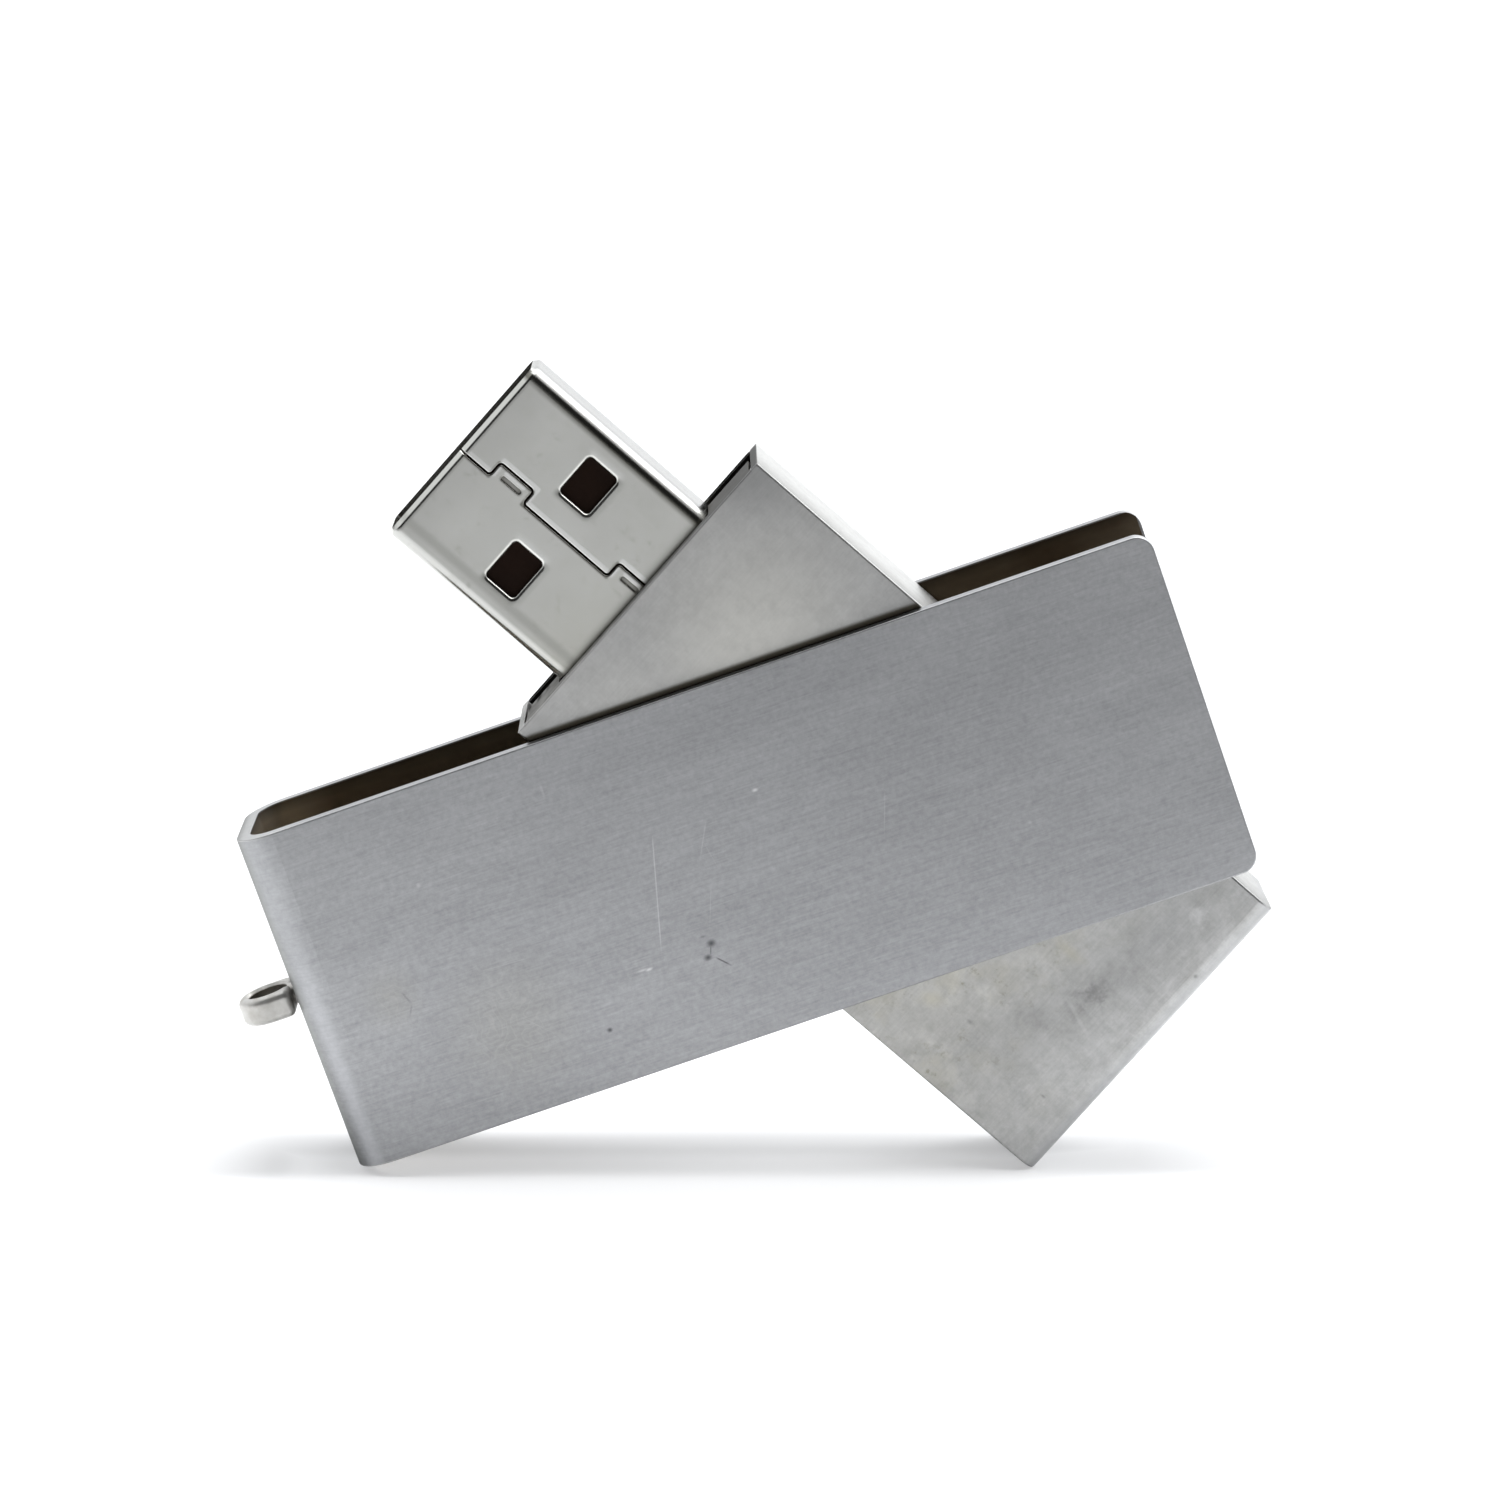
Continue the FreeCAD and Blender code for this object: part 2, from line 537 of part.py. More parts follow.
def plug_shell():
    """Folded steel tube with a locked seam on the front face, and two solder legs."""
    tube = box(PLUG_X0, PLUG_X1, PLUG_Y0, PLUG_Y1, PLUG_Z0, PLUG_Z1)
    tube = fillet(tube, PLUG_EDGE_R, lambda edge: along(edge, "x"))
    tube = chamfer(tube, MOUTH_BEVEL, lambda edge: edge.BoundBox.XMax < PLUG_X0 + 1e-4)
    tube = fillet(tube, MOUTH_R, mouth_bevel_edge)
    core = box(PLUG_X0 - PAST, PLUG_X1 + PAST, PLUG_Y0 + PLUG_SHEET, PLUG_Y1 - PLUG_SHEET,
               PLUG_Z0 + PLUG_SHEET, PLUG_Z1 - PLUG_SHEET)
    core = fillet(core, PLUG_EDGE_R - PLUG_SHEET, lambda edge: along(edge, "x"))
    tube = tube.cut(core)
    for side in SIDES:
        z = PLUG_Z + side * WINDOW_Z
        window = box(WINDOW_X0, WINDOW_X0 + WINDOW_L, PLUG_Y0 - PAST, PLUG_Y1 + PAST,
                     z - WINDOW_W / 2, z + WINDOW_W / 2)
        tube = tube.cut(fillet(window, WINDOW_CORNER_R, lambda edge: along(edge, "y")))
    tube = fillet(tube, WINDOW_EDGE_R, window_edge)

    seam = [(PLUG_X0 + distance, PLUG_Z + offset) for distance, offset in SEAM_PATH]
    tube = tube.cut(slot_along(seam, SEAM_W / 2, SEAM_TURN_R,
                               PLUG_Y0 - 0.5, PLUG_Y0 + PLUG_SHEET + 0.1))
    for start, end, offset in STAKES:
        z = PLUG_Z + offset
        mark = box(PLUG_X0 + start, PLUG_X0 + end, PLUG_Y0 - 0.5, PLUG_Y0 + STAKE_DEPTH,
                   z - STAKE_W / 2, z + STAKE_W / 2)
        tube = tube.cut(fillet(mark, STAKE_W * 0.4, lambda edge: along(edge, "y")))
    tube = fillet(tube, STAKE_EDGE_R,
                  lambda edge: seam_or_stake_edge(edge) and near_stake(edge))
    tube = fillet(tube, SEAM_EDGE_R,
                  lambda edge: seam_or_stake_edge(edge) and not near_stake(edge))
    legs = []
    for side in SIDES:
        z0, z1 = z_span(side, PLUG_W / 2, PLUG_W / 2 - PLUG_SHEET, PLUG_Z)
        legs.append(box(PLUG_X1 - 0.2, PLUG_X1 + LEG_LEN, LEG_Y0, LEG_Y1, z0, z1))
    return fuse([tube] + legs)


def plug_insulator():
    """Moulded tongue and rear block, with a groove for each contact."""
    inset = PLUG_SHEET + INSULATOR_GAP
    y0, y1 = PLUG_Y0 + inset, PLUG_Y1 - inset
    z0, z1 = PLUG_Z0 + inset, PLUG_Z1 - inset
    insulator = fuse([box(TONGUE_X0, INSULATOR_X1, y0, TONGUE_Y1, z0, z1),
                      box(BLOCK_X0, INSULATOR_X1, y0, y1, z0, z1)])
    insulator = fillet(insulator, PLUG_EDGE_R - PLUG_SHEET, lambda edge: along(edge, "x") and (
        centred(edge, "y", y0) or centred(edge, "y", y1)))
    for offset, tip in CONTACTS:
        z = PLUG_Z + offset
        insulator = insulator.cut(box(
            PLUG_X0 + tip - 0.05, PLUG_X1 + PAST, CONTACT_Y0 - 0.02, CONTACT_Y1 + 0.05,
            z - GROOVE_HALF_W, z + GROOVE_HALF_W))
    return insulator


def plug_contacts():
    """Four contact strips with tails that reach the board."""
    tail_y0 = BOARD_Y1 + 0.01
    tail_y1 = tail_y0 + 0.18
    strips = []
    for offset, tip in CONTACTS:
        x, z = PLUG_X0 + tip, PLUG_Z + offset
        outline = [
            (x, CONTACT_Y0), (PLUG_X1 + 0.05, CONTACT_Y0), (PLUG_X1 + 0.35, tail_y0),
            (PLUG_X1 + 2.2, tail_y0), (PLUG_X1 + 2.2, tail_y1), (PLUG_X1 + 0.25, tail_y1),
            (PLUG_X1 - 0.05, CONTACT_Y1), (x + 0.1, CONTACT_Y1), (x, 4.50)]
        strips.append(prism_z(outline, z - CONTACT_HALF_W, z + CONTACT_HALF_W))
    return Part.makeCompound(strips)


# ---- board and components ----
def circuit_board():
    """Board with rounded rear corners, slots for the solder legs and four holes."""
    y0, y1 = BOARD_Y0 - PAST, BOARD_Y1 + PAST
    board = box(BOARD_X0, BOARD_X1, BOARD_Y0, BOARD_Y1, -BOARD_W / 2, BOARD_W / 2)
    board = fillet(board, BOARD_CORNER_R, lambda edge: along(edge, "y", x=BOARD_X1))
    for side in SIDES:
        z = PLUG_Z + side * (PLUG_W / 2 - PLUG_SHEET / 2)
        board = board.cut(box(BOARD_X0 - PAST, PLUG_X1 + LEG_LEN + 0.15, y0, y1,
                              z - 0.25, z + 0.25))
    for x, z in BOARD_HOLES:
        board = board.cut(cylinder_y(BOARD_HOLE_R, y0, y1, x, z))
    return board


def flash_memory_chip():
    """Package on the front of the board, with a dimple in its front face."""
    chip = box(FLASH_X0, FLASH_X1, FLASH_Y0, FLASH_Y1, -FLASH_HALF_W, FLASH_HALF_W)
    chip = chamfer(chip, 0.12, lambda edge: centred(edge, "y", FLASH_Y0))
    return chip.cut(cylinder_y(0.5, FLASH_Y0 - PAST, FLASH_Y0 + DIMPLE_DEPTH,
                               FLASH_X0 + 1.2, 5.0))


def controller_chip():
    """Package on the rear of the board, with a dimple in its rear face."""
    half = CONTROLLER_HALF
    chip = box(CONTROLLER_X - half, CONTROLLER_X + half, CONTROLLER_Y0, CONTROLLER_Y1,
               -half, half)
    chip = chamfer(chip, 0.15, lambda edge: centred(edge, "y", CONTROLLER_Y1))
    return chip.cut(cylinder_y(0.4, CONTROLLER_Y1 - DIMPLE_DEPTH, CONTROLLER_Y1 + PAST,
                               CONTROLLER_X - 2.6, 2.6))


def lead_profile(base, side, root_y, foot_y, reach):
    """Gull-wing outline as (position, y) points; the lead leaves the package at base."""
    thickness = LEAD_T if foot_y > root_y else -LEAD_T
    return [(base + side * out, y) for out, y in (
        (0, root_y), (0.3, root_y), (0.45, foot_y - thickness), (reach, foot_y - thickness),
        (reach, foot_y), (0.33, foot_y), (0.2, root_y + thickness), (0, root_y + thickness))]


def lead_x(profile, z):
    return prism_z(profile, z - LEAD_W / 2, z + LEAD_W / 2)


def lead_z(profile, x):
    return prism_x([(y, z) for z, y in profile], x - LEAD_W / 2, x + LEAD_W / 2)


def lead_row(count):
    """Offsets of a centred row of leads."""
    return [(i - (count - 1) / 2) * LEAD_PITCH for i in range(count)]


def flash_chip_leads():
    """A row of leads at each short end of the package."""
    leads = []
    for z in lead_row(24):
        for base, side in ((FLASH_X1, 1), (FLASH_X0, -1)):
            leads.append(lead_x(lead_profile(base, side, 3.2, BOARD_Y0, 0.8), z))
    return Part.makeCompound(leads)


def controller_leads():
    """A row of leads on each of the four sides of the package."""
    leads = []
    for offset in lead_row(12):
        for side in SIDES:
            base = side * CONTROLLER_HALF
            leads.append(lead_x(
                lead_profile(CONTROLLER_X + base, side, 5.4, BOARD_Y1, 1.0), offset))
            leads.append(lead_z(
                lead_profile(base, side, 5.4, BOARD_Y1, 1.0), CONTROLLER_X + offset))
    return Part.makeCompound(leads)


def crystal():
    """Can with rounded corners on a flat base, on the rear of the board."""
    base = box(CRYSTAL_X - 2.5, CRYSTAL_X + 2.5, BOARD_Y1, BOARD_Y1 + 0.35, -1.6, 1.6)
    can = box(CRYSTAL_X - 2.3, CRYSTAL_X + 2.3, BOARD_Y1 + 0.3, BOARD_Y1 + 1.1, -1.4, 1.4)
    return fuse([base, fillet(can, 0.3, lambda edge: along(edge, "y"))])


def small_components(places, height):
    """Small blocks on the rear of the board, rounded at the top."""
    top = BOARD_Y1 + height
    blocks = []
    for x, z, turned in places:
        size_x, size_z = (SMD_W, SMD_L) if turned else (SMD_L, SMD_W)
        block = box(x - size_x / 2, x + size_x / 2, BOARD_Y1, top,
                    z - size_z / 2, z + size_z / 2)
        blocks.append(fillet(block, SMD_EDGE_R, lambda edge: centred(edge, "y", top)))
    return Part.makeCompound(blocks)


# ---- turn both sides into the standing pose and write them ----
clip_pieces = {
    "clip_band": clip_band(),
    "front_pivot_stud": pivot_stud(),
    "rear_pivot_stud": mirror_y(pivot_stud()),
    "front_thrust_washer": thrust_washer(),
    "rear_thrust_washer": mirror_y(thrust_washer()),
    "eye_retaining_washer": eye_retaining_washer(),
    "key_eye": key_eye(),
}
drive_pieces = {
    "body_front_shell": body_front_shell(),
    "body_back_cover": body_back_cover(),
    "front_pivot_bush": pivot_bush(),
    "rear_pivot_bush": mirror_y(pivot_bush()),
    "carrier_frame": carrier_frame(),
    "front_insulating_film": insulating_film(),
    "rear_insulating_film": mirror_y(insulating_film()),
    "plug_shell": plug_shell(),
    "plug_insulator": plug_insulator(),
    "plug_contacts": plug_contacts(),
    "circuit_board": circuit_board(),
    "flash_memory_chip": flash_memory_chip(),
    "flash_chip_leads": flash_chip_leads(),
    "controller_chip": controller_chip(),
    "controller_leads": controller_leads(),
    "crystal": crystal(),
    "capacitors": small_components(CAPACITORS, CAPACITOR_H),
    "resistors": small_components(RESISTORS, RESISTOR_H),
}

os.makedirs("parts", exist_ok=True)
# a turn about +Y by a positive angle lowers +X
for pieces, angle in ((clip_pieces, -CLIP_ANGLE), (drive_pieces, DRIVE_ANGLE)):
    for name, shape in pieces.items():
        shape.rotate(Vector(0, 0, 0), Vector(0, 1, 0), angle)
        if not shape.isValid():
            raise ValueError(name + " is not a valid shape")
        shape.exportStep("parts/" + name + ".step")
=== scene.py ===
import bpy
import json
import math
from mathutils import Matrix, Vector

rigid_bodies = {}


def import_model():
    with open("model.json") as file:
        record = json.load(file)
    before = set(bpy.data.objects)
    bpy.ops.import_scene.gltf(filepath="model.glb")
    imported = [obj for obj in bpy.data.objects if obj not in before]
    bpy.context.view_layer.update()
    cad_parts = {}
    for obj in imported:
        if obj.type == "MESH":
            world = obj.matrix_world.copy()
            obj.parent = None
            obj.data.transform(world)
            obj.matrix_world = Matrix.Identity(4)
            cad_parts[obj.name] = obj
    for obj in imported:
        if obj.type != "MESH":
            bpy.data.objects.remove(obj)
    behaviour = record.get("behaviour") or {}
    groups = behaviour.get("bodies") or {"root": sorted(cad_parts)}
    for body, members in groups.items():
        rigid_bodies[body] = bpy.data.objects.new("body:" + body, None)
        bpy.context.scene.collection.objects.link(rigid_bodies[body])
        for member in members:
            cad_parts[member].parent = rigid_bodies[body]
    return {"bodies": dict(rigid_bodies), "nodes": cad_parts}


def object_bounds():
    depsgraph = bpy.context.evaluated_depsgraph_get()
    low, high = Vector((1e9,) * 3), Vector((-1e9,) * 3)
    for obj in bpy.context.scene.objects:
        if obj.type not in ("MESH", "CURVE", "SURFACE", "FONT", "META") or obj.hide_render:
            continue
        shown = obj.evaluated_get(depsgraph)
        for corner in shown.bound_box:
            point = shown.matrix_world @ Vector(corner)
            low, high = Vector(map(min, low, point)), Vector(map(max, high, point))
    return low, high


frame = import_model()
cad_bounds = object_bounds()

MM = 0.001
CLIP_ANGLE = math.radians(19.2)
DRIVE_ANGLE = math.radians(41.3)
CLIP_R, CLIP_SHEET, CLIP_END = 2.2, 0.8, -33.5     # bend radius, sheet, closed end
nodes = frame["nodes"]
scene = bpy.context.scene


# ------------------------------------------------------------------------------------------
# a small node-tree writer
# ------------------------------------------------------------------------------------------
class Tree:
    def __init__(self, name):
        self.mat = bpy.data.materials.new(name)
        self.mat.use_nodes = True
        self.t = self.mat.node_tree
        self.t.nodes.clear()
        self.out = self.t.nodes.new("ShaderNodeOutputMaterial")
        self.bsdf = self.t.nodes.new("ShaderNodeBsdfPrincipled")
        self.t.links.new(self.bsdf.outputs[0], self.out.inputs["Surface"])

    def put(self, sock, v):
        if v is None:
            return
        if isinstance(v, bpy.types.NodeSocket):
            self.t.links.new(v, sock)
        else:
            if isinstance(v, (tuple, list)) and sock.type == "RGBA" and len(v) == 3:
                v = (*v, 1.0)
            sock.default_value = v

    def set(self, **kw):
        for k, v in kw.items():
            self.put(self.bsdf.inputs[k.replace("_", " ")], v)

    def obj(self):
        return self.t.nodes.new("ShaderNodeTexCoord").outputs["Object"]

    def math(self, op, a, b=None, c=None, clamp=False):
        n = self.t.nodes.new("ShaderNodeMath")
        n.operation = op
        n.use_clamp = clamp
        self.put(n.inputs[0], a)
        self.put(n.inputs[1], b)
        if c is not None:
            self.put(n.inputs[2], c)
        return n.outputs[0]

    def vmath(self, op, a, b=None):
        n = self.t.nodes.new("ShaderNodeVectorMath")
        n.operation = op
        self.put(n.inputs[0], a)
        if op == "SCALE":
            self.put(n.inputs["Scale"], b)
            return n.outputs[0]
        self.put(n.inputs[1], b)
        return n.outputs["Value"] if op in ("DOT_PRODUCT", "LENGTH", "DISTANCE") else n.outputs[0]

    def rotate_y(self, v, angle):
        n = self.t.nodes.new("ShaderNodeVectorRotate")
        n.rotation_type = "Y_AXIS"
        self.put(n.inputs["Vector"], v)
        n.inputs["Angle"].default_value = angle
        return n.outputs[0]

    def xyz(self, v):
        n = self.t.nodes.new("ShaderNodeSeparateXYZ")
        self.put(n.inputs[0], v)
        return n.outputs[0], n.outputs[1], n.outputs[2]

    def vec(self, x, y, z):
        n = self.t.nodes.new("ShaderNodeCombineXYZ")
        self.put(n.inputs[0], x)
        self.put(n.inputs[1], y)
        self.put(n.inputs[2], z)
        return n.outputs[0]

    def noise(self, v, scale=1.0, detail=2.0, rough=0.5, distortion=0.0, seed=None):
        n = self.t.nodes.new("ShaderNodeTexNoise")
        if seed is not None:
            n.noise_dimensions = "4D"
            n.inputs["W"].default_value = seed
        self.put(n.inputs["Vector"], v)
        n.inputs["Scale"].default_value = scale
        n.inputs["Detail"].default_value = detail
        n.inputs["Roughness"].default_value = rough
        n.inputs["Distortion"].default_value = distortion
        return n.outputs[0]

    def voronoi(self, v, scale=1.0, feature="F1", metric="EUCLIDEAN", rnd=1.0):
        n = self.t.nodes.new("ShaderNodeTexVoronoi")
        n.feature = feature
        n.distance = metric
        self.put(n.inputs["Vector"], v)
        n.inputs["Scale"].default_value = scale
        n.inputs["Randomness"].default_value = rnd
        return n.outputs["Distance"], n.outputs["Color"]

    def ramp(self, v, stops, mode="LINEAR"):
        n = self.t.nodes.new("ShaderNodeValToRGB")
        n.color_ramp.interpolation = mode
        el = n.color_ramp.elements
        while len(el) < len(stops):
            el.new(0.5)
        for e, (p, c) in zip(el, stops):
            e.position = p
            e.color = (c, c, c, 1) if isinstance(c, (int, float)) else (*c, 1)
        self.put(n.inputs[0], v)
        return n.outputs[0]

    def remap(self, v, a, b, c, d, clamp=True, smooth=False):
        n = self.t.nodes.new("ShaderNodeMapRange")
        n.clamp = clamp
        if smooth:
            n.interpolation_type = "SMOOTHSTEP"
        for i, x in enumerate((v, a, b, c, d)):
            self.put(n.inputs[i], x)
        return n.outputs[0]

    def mix(self, f, a, b, kind="MIX"):
        n = self.t.nodes.new("ShaderNodeMix")
        n.data_type = "RGBA"
        n.blend_type = kind
        self.put(n.inputs[0], f)
        self.put(n.inputs[6], a)
        self.put(n.inputs[7], b)
        return n.outputs[2]

    def bump(self, h, strength=0.2, distance=0.00005, normal=None):
        n = self.t.nodes.new("ShaderNodeBump")
        n.inputs["Strength"].default_value = strength
        n.inputs["Distance"].default_value = distance
        self.put(n.inputs["Height"], h)
        if normal is not None:
            self.put(n.inputs["Normal"], normal)
        return n.outputs[0]

    def to_world(self, v):
        n = self.t.nodes.new("ShaderNodeVectorTransform")
        n.vector_type = "VECTOR"
        n.convert_from = "OBJECT"
        n.convert_to = "WORLD"
        self.put(n.inputs[0], v)
        return n.outputs[0]

    def along_sheet(self, across):
        """Tangent that lies in the surface, square to the given direction of the rest frame."""
        g = self.t.nodes.new("ShaderNodeNewGeometry")
        c = self.vmath("CROSS_PRODUCT", self.to_world(across), g.outputs["Normal"])
        # on faces square to that direction the cross product vanishes, so a little of a fixed vector is added
        return self.vmath("NORMALIZE", self.vmath("ADD", c, (0.003, 0.002, 0.001)))

    def ao(self, distance, inside=False, samples=4):
        n = self.t.nodes.new("ShaderNodeAmbientOcclusion")
        n.samples = samples
        n.inside = inside
        n.inputs["Distance"].default_value = distance
        return n.outputs["AO"]


def clip_mm(t):
    """Clip coordinates in mm: X to the open end, Y to the back, Z across the band."""
    return t.vmath("SCALE", t.rotate_y(t.obj(), CLIP_ANGLE), 1000.0)


def drive_mm(t):
    """Drive coordinates in mm: X to the rear end, Y to the back, Z across the body."""
    return t.vmath("SCALE", t.rotate_y(t.obj(), -DRIVE_ANGLE), 1000.0)


def segment(t, x, z, x0, z0, x1, z1, w):
    """1 on a thin line from (x0, z0) to (x1, z1), 0 off it, in mm."""
    L = math.hypot(x1 - x0, z1 - z0)
    ux, uz = (x1 - x0) / L, (z1 - z0) / L
    dx, dz = t.math("SUBTRACT", x, x0), t.math("SUBTRACT", z, z0)
    s = t.math("ADD", t.math("MULTIPLY", dx, ux), t.math("MULTIPLY", dz, uz))
    d = t.math("ABSOLUTE", t.math("SUBTRACT", t.math("MULTIPLY", dx, -uz), t.math("MULTIPLY", dz, -ux)))
    across = t.remap(d, w * 0.35, w, 1.0, 0.0)
    a = t.remap(s, 0.0, min(0.6, L * 0.2), 0.0, 1.0)
    b = t.remap(s, L - min(1.2, L * 0.4), L, 1.0, 0.0)
    return t.math("MULTIPLY", across, t.math("MULTIPLY", a, b))


def stroke(t, x, z, x0, z0, x1, z1, w):
    """1 along the line from (x0, z0) to (x1, z1) right up to its round ends, 0 beyond w from it, in mm."""
    L = math.hypot(x1 - x0, z1 - z0)
    ux, uz = (x1 - x0) / L, (z1 - z0) / L
    dx, dz = t.math("SUBTRACT", x, x0), t.math("SUBTRACT", z, z0)
    s = t.math("ADD", t.math("MULTIPLY", dx, ux), t.math("MULTIPLY", dz, uz))
    s = t.math("MINIMUM", t.math("MAXIMUM", s, 0.0), L)
    ax, az = t.math("SUBTRACT", dx, t.math("MULTIPLY", s, ux)), t.math("SUBTRACT", dz, t.math("MULTIPLY", s, uz))
    d = t.math("SQRT", t.math("ADD", t.math("MULTIPLY", ax, ax), t.math("MULTIPLY", az, az)))
    return t.remap(d, w * 0.3, w, 1.0, 0.0, smooth=True)


def blob(t, x, z, cx, cz, rx, rz, soft=1.0, turn=0.0):
    """A soft ellipse of 1 at its centre."""
    c, s = math.cos(turn), math.sin(turn)
    dx, dz = t.math("SUBTRACT", x, cx), t.math("SUBTRACT", z, cz)
    a = t.math("ADD", t.math("MULTIPLY", dx, c / rx), t.math("MULTIPLY", dz, s / rx))
    b = t.math("ADD", t.math("MULTIPLY", dx, -s / rz), t.math("MULTIPLY", dz, c / rz))
    d = t.math("SQRT", t.math("ADD", t.math("MULTIPLY", a, a), t.math("MULTIPLY", b, b)))
    return t.remap(d, 0.0, 1.0, 1.0, 0.0, smooth=True)


def add_up(t, terms):
    out = terms[0]
    for k in terms[1:]:
        out = t.math("MAXIMUM", out, k)
    return out


def brushed(t, u, v, w, seed):
    """Brush grain whose lines run along u.  Returns fine lines, broad lines and blotches, each 0 to 1."""
    fine = t.noise(t.vec(t.math("MULTIPLY", u, 0.35), t.math("MULTIPLY", w, 2.0), t.math("MULTIPLY", v, 9.0)),
                   1.0, 3.0, 0.75, seed=seed)
    mid = t.noise(t.vec(t.math("MULTIPLY", u, 0.16), t.math("MULTIPLY", w, 1.0), t.math("MULTIPLY", v, 3.2)),
                  1.0, 3.0, 0.7, seed=seed + 3.1)
    broad = t.noise(t.vec(t.math("MULTIPLY", u, 0.07), t.math("MULTIPLY", w, 0.3), t.math("MULTIPLY", v, 0.25)),
                    1.0, 2.0, 0.5, seed=seed + 7.7)
    return fine, mid, broad


# ------------------------------------------------------------------------------------------
# materials
# ------------------------------------------------------------------------------------------
CLIP_DARK, CLIP_LIGHT = (0.275, 0.278, 0.286), (0.485, 0.489, 0.50)
BODY_DARK, BODY_LIGHT = (0.34, 0.34, 0.337), (0.64, 0.64, 0.63)
PLUG_DARK, PLUG_LIGHT = (0.62, 0.62, 0.585), (0.74, 0.74, 0.705)


